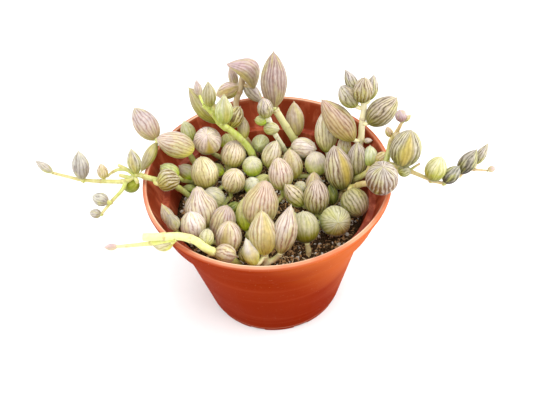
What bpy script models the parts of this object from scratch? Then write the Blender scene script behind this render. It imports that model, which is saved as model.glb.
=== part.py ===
"""String of watermelons in its nursery pot: the pot, its soil and each leafy strand as solids.

Lengths below are in millimetres and become metres when a mesh is made. The origin is the centre
of the pot's underside, +Z is up and -Y faces the viewer of the photograph.
"""

import math
from collections import namedtuple

import bmesh
import bpy
from mathutils import Vector, noise

MM = 0.001
WELD = 0.00001

# Driving dimensions of the pot
POT_HEIGHT = 63.0
RIM_RADIUS = 45.0
LIP_THICKNESS = 1.5
LIP_HEIGHT = 2.0
LIP_ROUND = 0.5
LIP_STEP = 0.6
COLLAR_FOOT_RADIUS = 41.25
COLLAR_FOOT_HEIGHT = 49.9
BODY_TOP_RADIUS = 38.4
BASE_RADIUS = 28.5
WALL = 1.2
FLOOR = 2.0
FOOT_CHAMFER = 0.5
FLOOR_BEVEL = 0.8
CORNER_BEVEL = 0.3
POT_SIDES = 36
NOTCHES = 10
NOTCH_WIDTH = 6.0
NOTCH_DEPTH = 3.2
NOTCH_HEIGHT = 1.3
DRAIN_HOLES = 5
DRAIN_RADIUS = 3.0
DRAIN_CIRCLE = 16.0
HOLE_SIDES = 12
CUTTER_OVERSHOOT = 3.0

# Driving dimensions of the soil
FIT = 0.3
SOIL_TOP = 43.6
SOIL_BUMP = 0.45
SOIL_BUMP_SIZE = 7.0
SOIL_RINGS = 5
ROOT_DEPTH = 6.0

# The outline of a leaf: a plump one is round at both ends and a slim one tapers, most at its tip.
# Each taper is the power for a leaf as wide as long, its growth with slimness and its most.
LEAF_WIDEST = 0.46
FOOT_TAPER = (0.48, 0.2, 0.8)
TIP_TAPER = (0.45, 0.37, 0.95)

# How finely the plant is cut
SMALL_LEAF = 6.0
LEAF_CUT = (8, 5)
SMALL_LEAF_CUT = (6, 4)
STEM_CORNERS = 1
STALK_CORNERS = 0
SEARCH_STEPS = 4
STALK_RADIUS = 0.75
STALK_SUNK = 0.5

# The sight line through which the strands were placed: the photograph is 533 by 400 pixels
PHOTO_CENTRE = (266.5, 200.0)
FOCAL_PIXELS = 575.7
VIEW_DISTANCE = 220.0
VIEW_ELEVATION = math.radians(45.85)
VIEW_ROLL = math.radians(4.74)
VIEW_AIM = Vector((-0.9, 0.0, 47.2))

Stem = namedtuple("Stem", "start_radius end_radius path")
Leaf = namedtuple("Leaf", "name width foot tip bow", defaults=(0.0,))
Strand = namedtuple("Strand", "stems leaves")


def sight_axes():
    """The camera's right, up and forward directions."""
    forward = Vector((0, math.cos(VIEW_ELEVATION), -math.sin(VIEW_ELEVATION)))
    level = Vector((1, 0, 0))
    upright = level.cross(forward)
    right = level * math.cos(VIEW_ROLL) - upright * math.sin(VIEW_ROLL)
    up = level * math.sin(VIEW_ROLL) + upright * math.cos(VIEW_ROLL)
    return right, up, forward


SIGHT_RIGHT, SIGHT_UP, SIGHT_FORWARD = sight_axes()
EYE = VIEW_AIM - SIGHT_FORWARD * VIEW_DISTANCE


def seen(across, down, height):
    """The place at this height above the table that the photograph shows at this pixel."""
    line = (
        SIGHT_FORWARD
        + SIGHT_RIGHT * ((across - PHOTO_CENTRE[0]) / FOCAL_PIXELS)
        + SIGHT_UP * ((PHOTO_CENTRE[1] - down) / FOCAL_PIXELS)
    )
    return EYE + line * ((height - EYE.z) / line.z)


def at(x, y, z):
    """A place that the leaves hide in the photograph, in the object's own frame."""
    return Vector((x, y, z))


# Each strand: its stems from the soil outwards, and its leaves from stalk to tip

LEFT_TRAILER = Strand(
    stems=[
        Stem(1.25, 0.5, [
            at(-30, 4, 44), at(-30.5, 5, 47.5), seen(175, 186, 56), seen(160, 181, 62.5),
            seen(147, 177.5, 65), seen(137, 175, 65.6), seen(126, 181, 65.4), seen(110, 181.5, 65.2),
            seen(95, 181, 65), seen(80, 179.5, 65), seen(65, 176, 65.6), seen(53, 173, 66.4),
        ]),
        Stem(0.8, 0.5, [
            seen(126, 181, 65.4), seen(122, 190, 63.5), seen(112, 201, 60.5), seen(101, 214.5, 57.5),
        ]),
        Stem(0.8, 0.4, [
            seen(136, 174, 66), seen(127, 170, 68), seen(119, 169.5, 68.6), seen(112, 172.5, 67.6),
            seen(107, 177, 66.2),
        ]),
        Stem(0.8, 0.6, [seen(135, 175, 66), seen(126, 169, 68.6), seen(118, 165, 70)]),
        Stem(0.8, 0.6, [seen(131, 178, 65.6), seen(119, 175, 67.6)]),
    ],
    leaves=[
        Leaf("tip", 3.2, seen(53, 173, 66.4), seen(35.5, 161, 70)),
        Leaf("upright", 6.0, seen(82.5, 179.5, 65.6), seen(78.5, 151.5, 76)),
        Leaf("bud", 3.8, seen(104, 179, 66), seen(101, 164, 71.5)),
        Leaf("side", 4.9, seen(137, 174, 66.6), seen(131, 149, 76)),
        Leaf("under", 5.0, seen(138, 183, 64), seen(125, 189, 60)),
        Leaf("round_a", 4.9, seen(108, 202, 61), seen(93, 196.5, 62)),
        Leaf("round_b", 3.4, seen(101, 214.5, 57.5), seen(90, 212.5, 58)),
        Leaf("curled", 7.8, seen(158, 185, 65.5), seen(179, 178, 65.5), 1.0),
        Leaf("small", 3.0, seen(196, 189, 49), seen(183, 187, 49.5)),
        Leaf("hidden", 5.6, at(-29.8, 2.2, 46.9), at(-28.5, -3.5, 50.5)),
    ],
)

FRONT_LEFT_TRAILER = Strand(
    stems=[
        Stem(1.5, 1.2, [
            at(-12.8, -28.6, 44), at(-13.4, -30.2, 49), seen(223, 256, 56), seen(213, 252, 60.5),
            seen(204, 247, 63.2), seen(195, 240.5, 65.6), seen(181, 236.5, 67), seen(166, 236.5, 68),
            seen(154, 237, 68.6), seen(143, 237, 68.8),
        ]),
        Stem(0.9, 0.5, [
            seen(176, 238.5, 67), seen(160, 242, 66), seen(145, 244, 64.8), seen(130, 245.5, 63.6),
            seen(117, 246.5, 62.8),
        ]),
    ],
    leaves=[
        Leaf("tip", 2.3, seen(118, 246.5, 62.8), seen(104, 247.5, 62.4)),
        Leaf("under", 4.8, seen(173, 242.5, 65.5), seen(152, 243, 63.7), -0.6),
        Leaf("heel", 6.2, seen(215, 251, 60.5), seen(236, 256, 58.5)),
        Leaf("pale", 5.1, seen(205, 246, 60.5), seen(208, 229.5, 61)),
    ],
)

UPPER_LEFT_SPRAY = Strand(
    stems=[
        Stem(1.2, 0.9, [
            at(-26.5, 17, 44), at(-27.3, 17.7, 50), at(-29.8, 18.8, 58), seen(182, 147, 63),
            seen(168, 143.5, 66.2), seen(158, 140, 67.5),
        ]),
    ],
    leaves=[
        Leaf("outer", 9.0, seen(156.5, 139.5, 68), seen(134.5, 108.5, 74)),
        Leaf("hanging", 4.4, seen(157, 142, 69), seen(141, 172, 63.5)),
        Leaf("broad", 9.8, seen(194, 150, 63.3), seen(157, 138.5, 71.3)),
        Leaf("green", 5.8, seen(192, 141, 60), seen(184, 121.5, 67.5)),
    ],
)

BACK_LEFT_SPRAY = Strand(
    stems=[
        Stem(1.5, 1.1, [
            at(-4.5, 19, 44), at(-4.5, 19, 51), seen(250, 150, 56.5), seen(242, 140, 62),
            seen(230, 130, 68), seen(222, 125, 71), seen(212, 112, 77), seen(204, 105, 80),
        ]),
    ],
    leaves=[
        Leaf("long", 8.2, seen(218, 123, 69), seen(189, 88, 79)),
        Leaf("thin", 3.0, seen(200, 97, 79), seen(196, 80, 84)),
        Leaf("upright", 5.2, seen(210, 107, 79.5), seen(208, 82, 90)),
        Leaf("front", 6.6, seen(224, 124, 73), seen(224, 95, 86)),
        Leaf("striped", 7.0, seen(229, 127, 68), seen(240, 107, 73)),
        Leaf("pale", 4.8, seen(244, 140, 62.5), seen(243, 116, 66.5)),
    ],
)

BACK_HOOK = Strand(
    stems=[
        Stem(1.1, 1.4, [
            at(-5.4, 32, 44), at(-5.4, 32.2, 47), seen(244, 135, 53), seen(238, 118, 59),
            seen(236, 105, 63.5), seen(237, 98, 66), seen(239.5, 91, 68.5), seen(241.5, 84, 71),
            seen(243, 77, 73.5),
        ]),
    ],
    leaves=[
        Leaf("arched", 8.8, seen(255, 88, 70), seen(227, 64, 80), 5.0),
        Leaf("inner", 4.0, seen(236, 87, 69), seen(230, 66, 77)),
        Leaf("right", 5.6, seen(244, 84, 70.5), seen(262, 102, 63.5)),
        Leaf("left", 6.8, seen(239, 86, 70.5), seen(216.5, 95.5, 66)),
    ],
)

TALL_STEM = Strand(
    stems=[
        Stem(1.5, 1.4, [
            at(14.5, 26, 44), at(14.2, 26, 49), seen(295, 141, 53.5), seen(288, 130, 60.5),
            seen(280, 117, 67), seen(275, 109, 70.5),
        ]),
    ],
    leaves=[
        Leaf("tall", 10.3, seen(274, 108, 71), seen(273.5, 52, 88)),
        Leaf("upright", 7.4, seen(296, 137, 55), seen(294, 102, 66)),
        Leaf("hidden", 5.4, at(15.8, 26.5, 46.9), at(20.5, 26.8, 50.6)),
    ],
)

BUD_STEM = Strand(
    stems=[
        Stem(1.2, 0.8, [
            at(9.5, 26, 44), at(9.3, 25.4, 47), seen(286, 152, 50), seen(280, 142, 57),
            seen(274, 132, 64), seen(270, 121, 69), seen(267, 116, 72),
        ]),
    ],
    leaves=[
        Leaf("top", 6.0, seen(267, 118, 71), seen(263.5, 98.5, 78.5)),
        Leaf("green_bud", 4.0, seen(267, 121, 69.5), seen(255, 120, 69.5)),
        Leaf("horned", 5.0, seen(264, 128, 66), seen(279, 129, 67)),
    ],
)

BACK_GROUP = Strand(
    stems=[
        Stem(1.0, 0.9, [
            at(2, 24, 44), at(2, 24, 46.2), at(3.5, 18, 46.5), at(9, 13, 46.5), at(18, 12, 46.5),
        ]),
        Stem(0.9, 0.8, [at(2, 24, 46.4), at(-0.4, 31.5, 47.2)]),
    ],
    leaves=[
        Leaf("sideways", 8.3, seen(291, 147, 54), seen(316, 149, 55)),
        Leaf("striped", 8.2, seen(294.5, 179, 48), seen(289.5, 149.5, 58.5)),
        Leaf("round", 8.9, seen(317, 173, 48), seen(315, 154, 58)),
        Leaf("facing", 7.3, seen(262, 141, 49), seen(259, 147, 57.5)),
        Leaf("pale", 7.6, seen(267, 167, 51), seen(276.5, 141, 60.5)),
    ],
)

BACK_RIGHT_SPRAY = Strand(
    stems=[
        Stem(1.4, 1.1, [
            at(29.3, 13, 44), at(30.4, 13.6, 49), seen(358, 149, 56), seen(361, 138, 61),
            seen(362, 124, 67), seen(363.5, 112, 72), seen(364, 103, 76),
        ]),
        Stem(0.9, 0.8, [at(29.6, 13.2, 46.5), at(26.2, 17, 47.5)]),
    ],
    leaves=[
        Leaf("broad", 10.3, seen(354, 141, 61), seen(322, 100, 75)),
        Leaf("behind", 9.2, seen(327, 153, 51.5), seen(325, 110, 65.5)),
        Leaf("hidden", 5.5, seen(344.5, 158, 52), seen(344, 134, 60)),
        Leaf("left", 7.3, seen(356, 107, 74), seen(341, 86, 81)),
        Leaf("back", 4.6, seen(357, 93, 78), seen(345.5, 70, 86)),
        Leaf("crown", 7.3, seen(362, 102, 76.5), seen(364.5, 78, 87)),
        Leaf("green", 4.8, seen(370, 100, 77), seen(374, 75, 86)),
        Leaf("right", 9.8, seen(368, 124, 68), seen(396.5, 98, 77)),
        Leaf("stub", 2.2, seen(364, 141, 60), seen(372, 140.5, 62)),
        Leaf("low", 5.2, at(28.6, 12, 47.2), at(25, 8, 51)),
    ],
)

RIGHT_TRAILER = Strand(
    stems=[
        Stem(1.3, 0.35, [
            at(30.8, 6, 44), at(30.9, 5, 47.5), seen(362, 176, 56.5), seen(376, 167, 62.5),
            seen(385, 164, 65), seen(393, 165, 66), seen(400, 168, 66), seen(412, 172, 65.4),
            seen(424, 177, 64.4), seen(434, 181, 63.4), seen(446, 183, 63), seen(458, 177, 63.4),
            seen(470, 170, 64.4), seen(488, 170.5, 65.4),
        ]),
        Stem(1.1, 0.5, [
            seen(386, 163.5, 65.2), seen(389, 150, 69), seen(391, 141, 72), seen(396, 133, 75),
            seen(400, 126, 78), seen(403, 120, 80),
        ]),
        Stem(0.5, 0.4, [seen(410, 170, 66), seen(416, 166, 67.4), seen(420, 163.5, 68.4)]),
        Stem(1.2, 1.0, [
            at(30.9, 5.4, 46.5), seen(352, 187.5, 54), seen(362, 184, 60), seen(372, 184, 64),
            seen(379, 188, 65),
        ]),
        Stem(0.9, 0.8, [at(30.8, 5.6, 46.5), at(28.5, 1.5, 47), at(26.2, -2, 46.8)]),
    ],
    leaves=[
        Leaf("broad", 10.8, seen(401, 166, 67), seen(411, 130.5, 79)),
        Leaf("purple_bud", 4.0, seen(402, 121, 79.8), seen(400, 110.5, 84)),
        Leaf("spur", 1.8, seen(404, 121.5, 79.8), seen(411, 115, 82)),
        Leaf("small_a", 2.8, seen(391, 137, 72.5), seen(387, 127, 76)),
        Leaf("small_b", 2.8, seen(394, 140, 72.5), seen(399, 131, 76)),
        Leaf("dark", 4.2, seen(398, 172, 65.5), seen(411, 170, 65.8)),
        Leaf("yellow", 7.2, seen(431, 180.5, 63.6), seen(441, 157, 72)),
        Leaf("second", 5.3, seen(444, 183, 63), seen(459, 166.5, 68)),
        Leaf("third", 5.8, seen(459, 174, 63.6), seen(476.5, 150, 71)),
        Leaf("last", 3.5, seen(475, 165, 64.6), seen(488, 143.5, 71)),
        Leaf("bud", 2.2, seen(488, 170.5, 65.4), seen(495, 167.5, 67)),
        Leaf("brown_bud", 3.9, seen(377, 161, 62.5), seen(386, 153, 66)),
        Leaf("round", 10.7, seen(381, 188, 65), seen(383, 167, 78)),
        Leaf("beside_rim", 10.2, seen(348, 190.5, 55.5), seen(361.5, 215, 51.5)),
        Leaf("window", 10.8, seen(343, 190, 50), seen(334, 146, 65)),
        Leaf("striped", 8.0, seen(357, 177, 52), seen(357.5, 142.5, 65)),
        Leaf("pale", 5.8, seen(370, 167, 57.5), seen(370, 146, 63)),
        Leaf("under", 5.0, seen(333, 205, 46.8), seen(331, 184, 52)),
    ],
)

FRONT_RIGHT_GROUP = Strand(
    stems=[
        Stem(1.1, 0.8, [
            at(19, -13, 44), at(19, -12.5, 46.4), at(17, -6, 46.3), at(14.5, 0, 46.3),
        ]),
        Stem(0.8, 0.7, [at(19, -13, 46.3), at(12, -14, 46.2), at(4, -15.5, 46.2)]),
    ],
    leaves=[
        Leaf("facing", 10.9, seen(333, 220, 49.5), seen(338, 222.5, 58.5)),
        Leaf("striped", 9.5, seen(316, 214, 48), seen(317, 180, 60)),
        Leaf("behind", 6.4, seen(314, 195, 47), seen(314, 172.5, 56)),
        Leaf("green", 6.8, seen(303, 206, 50), seen(285.5, 185, 57)),
        Leaf("pale", 5.2, seen(300, 191, 48), seen(300.8, 184, 53)),
        Leaf("low_a", 5.4, at(13.2, -14.2, 46.9), at(12.6, -17, 51.4)),
        Leaf("low_b", 5.4, at(8.5, -14.5, 46.9), at(7, -11, 51.6)),
        Leaf("low_c", 5.4, at(4, -15.5, 46.9), at(3, -19, 51.6)),
    ],
)

FRONT_STEM = Strand(
    stems=[Stem(0.9, 0.9, [at(12.4, -25.6, 44), at(12.3, -25.6, 47), seen(307, 243, 50.5)])],
    leaves=[Leaf("round", 10.0, seen(307.5, 243, 50), seen(303, 211.5, 58.5))],
)

FRONT_GROUP = Strand(
    stems=[
        Stem(1.3, 1.3, [at(-3, -29.4, 44), at(-3, -29.5, 47), seen(264.5, 255, 51)]),
        Stem(1.1, 0.9, [at(-3, -29.5, 46.4), seen(274, 259.5, 47.6), seen(280, 254.5, 51)]),
    ],
    leaves=[
        Leaf("centre", 9.9, seen(264.5, 255, 51), seen(261.5, 211, 65)),
        Leaf("right", 8.3, seen(280, 254, 51), seen(291, 205.5, 66)),
        Leaf("translucent", 5.7, seen(255, 266, 50), seen(246, 239, 58)),
        Leaf("dark", 4.0, seen(244.5, 262, 48), seen(243.5, 246, 53.5)),
    ],
)

CENTRE_GROUP = Strand(
    stems=[
        Stem(1.1, 0.8, [at(-1, -6, 44), at(-1, -6, 46.2), at(-4, -12, 46.6), at(-6.5, -15.2, 47.4)]),
        Stem(0.9, 0.8, [at(-1, -6, 46.3), at(3, -1, 46.5), at(5.5, 1.5, 47)]),
    ],
    leaves=[
        Leaf("large", 12.8, seen(256, 226, 50), seen(266, 181, 65)),
        Leaf("pointed", 9.3, seen(283, 190, 50.5), seen(278, 158, 62.5)),
        Leaf("green", 7.0, seen(246, 231, 47.5), seen(244, 198, 57.5)),
        Leaf("low_a", 5.2, at(-6.8, -16.5, 46.9), at(-7.2, -21.5, 51)),
        Leaf("low_b", 5.2, at(-2.2, -5, 46.9), at(-6.2, -2.6, 51)),
    ],
)

LEFT_GROUP = Strand(
    stems=[
        Stem(1.1, 0.9, [
            at(-16, 11, 44), at(-16, 11, 46.4), at(-15.5, 17, 46.6), at(-16.5, 24, 47.4),
            at(-21, 25, 51),
        ]),
        Stem(0.9, 0.8, [at(-16, 11, 46.4), at(-20.5, 7.5, 46.8)]),
        Stem(0.9, 0.8, [at(-16, 11, 46.4), at(-14.6, 4.8, 46.6), at(-17, 0.5, 46.5), at(-16, -5, 46.3)]),
        Stem(0.9, 0.8, [at(-15.6, 10, 46.4), at(-10, 9, 46.4), at(-6.2, 7.4, 46.2)]),
    ],
    leaves=[
        Leaf("egg", 10.7, seen(208, 188, 50), seen(201, 157, 61)),
        Leaf("facing", 10.8, seen(208, 147, 56), seen(207, 134.5, 68)),
        Leaf("upper", 10.0, seen(231, 167, 50), seen(236, 141, 60)),
        Leaf("lower", 8.9, seen(231, 190, 50), seen(236, 171, 60)),
        Leaf("shiny_a", 7.8, seen(253, 172, 49), seen(252, 160, 57.5)),
        Leaf("shiny_b", 6.6, seen(253, 190, 47.5), seen(252, 181, 55)),
        Leaf("behind", 6.5, seen(230, 150, 50), seen(226, 134, 56)),
        Leaf("white", 7.9, seen(222, 204, 48), seen(206, 191, 55)),
        Leaf("low_a", 5.4, at(-17.5, 17.2, 46.9), at(-22, 17.5, 51)),
        Leaf("low_b", 4.8, at(-13, 9.8, 46.9), at(-10, 12.2, 51)),
        Leaf("low_c", 5.4, at(-4.5, 8, 46.9), at(0.5, 9.3, 51.2)),
        Leaf("low_d", 5.2, at(-15.5, -5, 46.9), at(-11.3, -4.5, 51)),
        Leaf("low_e", 5.4, at(-16.5, -5.5, 46.9), at(-19.8, -8.8, 51)),
    ],
)

LEFT_WALL_GROUP = Strand(
    stems=[Stem(1.0, 0.8, [at(-29.4, 12, 44), at(-29.8, 12, 48), at(-32.5, 8.6, 53)])],
    leaves=[
        Leaf("dark_a", 6.4, seen(178, 177, 57), seen(161, 166, 62.5)),
        Leaf("dark_b", 6.2, seen(195, 178, 50.4), seen(179.5, 166, 54.2)),
    ],
)

FRONT_LEFT_GROUP = Strand(
    stems=[
        Stem(1.1, 0.8, [at(-24, -19, 44), at(-24, -18.5, 46.4), at(-20, -19, 46.8), at(-16.5, -24, 47.5)]),
        Stem(0.9, 0.7, [at(-24, -18.5, 46.4), at(-28, -19.5, 49), at(-33.2, -19.5, 55)]),
    ],
    leaves=[
        Leaf("onion", 11.8, seen(205, 228, 50), seen(197, 187, 64)),
        Leaf("curved", 8.9, seen(196, 238, 52), seen(190, 212, 60.5)),
        Leaf("striped", 9.3, seen(219, 238, 48.5), seen(227, 206, 60)),
        Leaf("front", 9.1, seen(229, 251, 51), seen(229, 222, 62)),
        Leaf("wall_a", 4.4, seen(173, 227, 56), seen(162, 204.5, 65)),
        Leaf("wall_b", 4.8, seen(176, 229, 56), seen(169.5, 215, 62.5)),
        Leaf("green", 3.5, seen(209, 238, 47.5), seen(209, 222, 53)),
    ],
)

STRANDS = {
    "strand_left_trailer": LEFT_TRAILER,
    "strand_front_left_trailer": FRONT_LEFT_TRAILER,
    "strand_upper_left": UPPER_LEFT_SPRAY,
    "strand_back_left": BACK_LEFT_SPRAY,
    "strand_back_hook": BACK_HOOK,
    "strand_tall": TALL_STEM,
    "strand_bud": BUD_STEM,
    "strand_back": BACK_GROUP,
    "strand_back_right": BACK_RIGHT_SPRAY,
    "strand_right_trailer": RIGHT_TRAILER,
    "strand_front_right": FRONT_RIGHT_GROUP,
    "strand_front_single": FRONT_STEM,
    "strand_front": FRONT_GROUP,
    "strand_centre": CENTRE_GROUP,
    "strand_left": LEFT_GROUP,
    "strand_left_wall": LEFT_WALL_GROUP,
    "strand_front_left": FRONT_LEFT_GROUP,
}


# Collections and materials


def clear_scene():
    for obj in list(bpy.data.objects):
        bpy.data.objects.remove(obj, do_unlink=True)


def new_collection(name, hidden):
    made = bpy.data.collections.new(name)
    made.hide_render = hidden
    bpy.context.scene.collection.children.link(made)
    return made


def new_material(name, colour, roughness):
    made = bpy.data.materials.new(name)
    made.use_nodes = True
    surface = made.node_tree.nodes["Principled BSDF"]
    surface.inputs["Base Color"].default_value = (*colour, 1.0)
    surface.inputs["Roughness"].default_value = roughness
    return made


def pot_material():
    return new_material("pot_plastic", (0.62, 0.16, 0.05), 0.45)


def soil_material():
    return new_material("soil", (0.07, 0.04, 0.025), 0.95)


def strand_material(name):
    return new_material(name + "_leaf", (0.42, 0.46, 0.26), 0.5)


# Mesh tools


def object_of(name, mesh, collection):
    made = bpy.data.objects.new(name, mesh)
    collection.objects.link(made)
    return made


def object_from_bmesh(name, shape, collection):
    mesh = bpy.data.meshes.new(name)
    shape.to_mesh(mesh)
    shape.free()
    return object_of(name, mesh, collection)


def weld(mesh):
    """Joins the seams that a turned profile and a curve's caps leave."""
    shape = bmesh.new()
    shape.from_mesh(mesh)
    bmesh.ops.remove_doubles(shape, verts=shape.verts, dist=WELD)
    shape.to_mesh(mesh)
    shape.free()


def bake(obj, seams):
    """Puts the object's modifiers or its curve into a plain mesh object of the same name."""
    graph = bpy.context.evaluated_depsgraph_get()
    mesh = bpy.data.meshes.new_from_object(obj.evaluated_get(graph))
    if seams:
        weld(mesh)
    collection = obj.users_collection[0]
    name = obj.name
    placed = obj.matrix_world.copy()
    bpy.data.objects.remove(obj, do_unlink=True)
    made = object_of(name, mesh, collection)
    made.matrix_world = placed
    return made


def boolean(obj, operation, collection):
    """Joins the collection to the object or cuts it away, then removes its objects."""
    modifier = obj.modifiers.new(operation.lower(), "BOOLEAN")
    modifier.operation = operation
    modifier.operand_type = "COLLECTION"
    modifier.collection = collection
    modifier.solver = "MANIFOLD"
    made = bake(obj, seams=False)
    for other in list(collection.objects):
        bpy.data.objects.remove(other, do_unlink=True)
    return made


def turned(name, profile, sides, collection):
    """A solid of revolution about Z from (radius, height) points."""
    mesh = bpy.data.meshes.new(name)
    points = [(radius * MM, 0, height * MM) for radius, height in profile]
    edges = [(i, i + 1) for i in range(len(points) - 1)]
    mesh.from_pydata(points, edges, [])
    obj = object_of(name, mesh, collection)
    screw = obj.modifiers.new("turn", "SCREW")
    screw.axis = "Z"
    screw.angle = math.tau
    screw.steps = sides
    screw.render_steps = sides
    screw.use_merge_vertices = True
    screw.merge_threshold = WELD
    return bake(obj, seams=True)


def cylinder(name, radius, low, high, sides, collection):
    """A standing cylinder whose axis runs from the place low to the place high."""
    shape = bmesh.new()
    bmesh.ops.create_cone(
        shape,
        cap_ends=True,
        segments=sides,
        radius1=radius * MM,
        radius2=radius * MM,
        depth=(high - low).length * MM,
    )
    made = object_from_bmesh(name, shape, collection)
    made.location = (low + high) / 2 * MM
    return made


def keep_largest_body(obj):
    """Drops loose scraps and the walls of sealed hollows that a union leaves."""
    shape = bmesh.new()
    shape.from_mesh(obj.data)
    left = set(shape.verts)
    bodies = []
    while left:
        queue = [left.pop()]
        body = set(queue)
        while queue:
            for edge in queue.pop().link_edges:
                for vert in edge.verts:
                    if vert in left:
                        left.remove(vert)
                        body.add(vert)
                        queue.append(vert)
        bodies.append(body)
    largest = max(bodies, key=len)
    spare = [vert for body in bodies if body is not largest for vert in body]
    bmesh.ops.delete(shape, geom=spare, context="VERTS")
    shape.to_mesh(obj.data)
    shape.free()


# The pot


def wall_radius(height):
    """The inner radius of the pot's body at this height."""
    share = (height - FLOOR) / (COLLAR_FOOT_HEIGHT - FLOOR)
    return BASE_RADIUS + (BODY_TOP_RADIUS - BASE_RADIUS) * share - WALL


def pot_profile():
    """From the middle of the floor up the inside, over the lip and down the outside."""
    ledge = COLLAR_FOOT_HEIGHT + WALL
    lip_foot = POT_HEIGHT - LIP_HEIGHT
    return [
        (0, FLOOR),
        (wall_radius(FLOOR) - FLOOR_BEVEL, FLOOR),
        (wall_radius(FLOOR + FLOOR_BEVEL), FLOOR + FLOOR_BEVEL),
        (wall_radius(ledge - CORNER_BEVEL), ledge - CORNER_BEVEL),
        (wall_radius(ledge) + CORNER_BEVEL, ledge),
        (COLLAR_FOOT_RADIUS - WALL, ledge),
        (RIM_RADIUS - LIP_THICKNESS, lip_foot),
        (RIM_RADIUS - LIP_THICKNESS, POT_HEIGHT - LIP_ROUND),
        (RIM_RADIUS - LIP_THICKNESS + LIP_ROUND, POT_HEIGHT),
        (RIM_RADIUS - LIP_ROUND, POT_HEIGHT),
        (RIM_RADIUS, POT_HEIGHT - LIP_ROUND),
        (RIM_RADIUS, lip_foot + CORNER_BEVEL),
        (RIM_RADIUS - LIP_STEP, lip_foot),
        (COLLAR_FOOT_RADIUS, COLLAR_FOOT_HEIGHT + CORNER_BEVEL),
        (COLLAR_FOOT_RADIUS - CORNER_BEVEL, COLLAR_FOOT_HEIGHT),
        (BODY_TOP_RADIUS, COLLAR_FOOT_HEIGHT),
        (BASE_RADIUS, FOOT_CHAMFER),
        (BASE_RADIUS - FOOT_CHAMFER, 0),
        (0, 0),
    ]


def notch_cutters(collection):
    """Blocks that open the foot between its feet, alike all round."""
    reach = NOTCH_DEPTH + CUTTER_OVERSHOOT
    for i in range(NOTCHES):
        angle = math.tau * (i + 0.5) / NOTCHES - math.pi / 2
        shape = bmesh.new()
        bmesh.ops.create_cube(shape, size=1)
        block = object_from_bmesh("notch_" + str(i), shape, collection)
        block.scale = (reach * MM, NOTCH_WIDTH * MM, 2 * NOTCH_HEIGHT * MM)
        middle = BASE_RADIUS - NOTCH_DEPTH + reach / 2
        block.location = (math.cos(angle) * middle * MM, math.sin(angle) * middle * MM, 0)
        block.rotation_euler.z = angle


def drain_cutters(collection):
    for i in range(DRAIN_HOLES):
        angle = math.tau * i / DRAIN_HOLES
        x = math.cos(angle) * DRAIN_CIRCLE
        y = math.sin(angle) * DRAIN_CIRCLE
        low = Vector((x, y, -CUTTER_OVERSHOOT))
        high = Vector((x, y, FLOOR + CUTTER_OVERSHOOT))
        cylinder("drain_" + str(i), DRAIN_RADIUS, low, high, HOLE_SIDES, collection)


def make_pot(parts, cutters):
    pot = turned("pot", pot_profile(), POT_SIDES, parts)
    notch_cutters(cutters)
    drain_cutters(cutters)
    pot = boolean(pot, "DIFFERENCE", cutters)
    pot.data.materials.append(pot_material())
    return pot


# The soil


def soil_profile():
    """From the middle of the bumpy top out to the wall, down it and back under."""
    top_radius = wall_radius(SOIL_TOP) - FIT
    top = [(top_radius * i / SOIL_RINGS, SOIL_TOP) for i in range(SOIL_RINGS + 1)]
    foot = FLOOR + FIT
    return top + [
        (wall_radius(foot + FLOOR_BEVEL) - FIT, foot + FLOOR_BEVEL),
        (wall_radius(foot) - FLOOR_BEVEL - FIT, foot),
        (0, foot),
    ]


def root_cutters(collection):
    """Plain blind holes in the soil, one round each rooted stem."""
    for name, strand in STRANDS.items():
        stem = strand.stems[0]
        entry = stem.path[0]
        low = Vector((entry.x, entry.y, entry.z - ROOT_DEPTH - FIT))
        high = Vector((entry.x, entry.y, entry.z + CUTTER_OVERSHOOT))
        cylinder(name + "_hole", stem.start_radius + FIT, low, high, HOLE_SIDES, collection)


def make_soil(parts, cutters):
    soil = turned("soil", soil_profile(), POT_SIDES, parts)
    for vert in soil.data.vertices:
        if vert.co.z > SOIL_TOP / 2 * MM:
            bump = noise.noise(vert.co / (SOIL_BUMP_SIZE * MM))
            vert.co.z += bump * SOIL_BUMP * MM
    root_cutters(cutters)
    soil = boolean(soil, "DIFFERENCE", cutters)
    soil.data.materials.append(soil_material())
    return soil


# The strands


def smooth_path(path, steps):
    """A Catmull-Rom line through the points, with this many steps to a stretch."""
    ends = [2 * path[0] - path[1], *path, 2 * path[-1] - path[-2]]
    points = []
    for a, b, c, d in zip(ends, ends[1:], ends[2:], ends[3:]):
        for i in range(steps):
            t = i / steps
            points.append(
                0.5 * (2 * b + (c - a) * t + (2 * a - 5 * b + 4 * c - d) * t**2
                       + (3 * b - a - 3 * c + d) * t**3)
            )
    return points + [path[-1]]


def tube(name, points, start_radius, end_radius, corners, collection):
    """A capped round rod through the points that narrows evenly."""
    curve = bpy.data.curves.new(name, "CURVE")
    curve.dimensions = "3D"
    curve.bevel_depth = MM
    curve.bevel_resolution = corners
    curve.use_fill_caps = True
    spline = curve.splines.new("POLY")
    spline.points.add(len(points) - 1)
    for i, point in enumerate(points):
        share = i / (len(points) - 1)
        spline.points[i].co = (*(point * MM), 1)
        spline.points[i].radius = start_radius + (end_radius - start_radius) * share
    return bake(object_of(name, curve, collection), seams=True)


def taper(slimness, least, growth, most):
    """The power that draws in one end of a leaf whose length is slimness times its width."""
    return min(least + growth * max(slimness - 1, 0), most)


def fullness(share, slimness):
    """How wide a leaf is at this share of its length from the stalk, as part of its width."""
    if share < LEAF_WIDEST:
        gone = (LEAF_WIDEST - share) / LEAF_WIDEST
        return (1 - gone**2) ** taper(slimness, *FOOT_TAPER)
    gone = (share - LEAF_WIDEST) / (1 - LEAF_WIDEST)
    return (1 - gone**2) ** taper(slimness, *TIP_TAPER)


def bow_side(span):
    """The upward direction square to the leaf's length."""
    up = Vector((0, 0, 1))
    return (up - span * up.dot(span) / span.length_squared).normalized()


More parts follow.
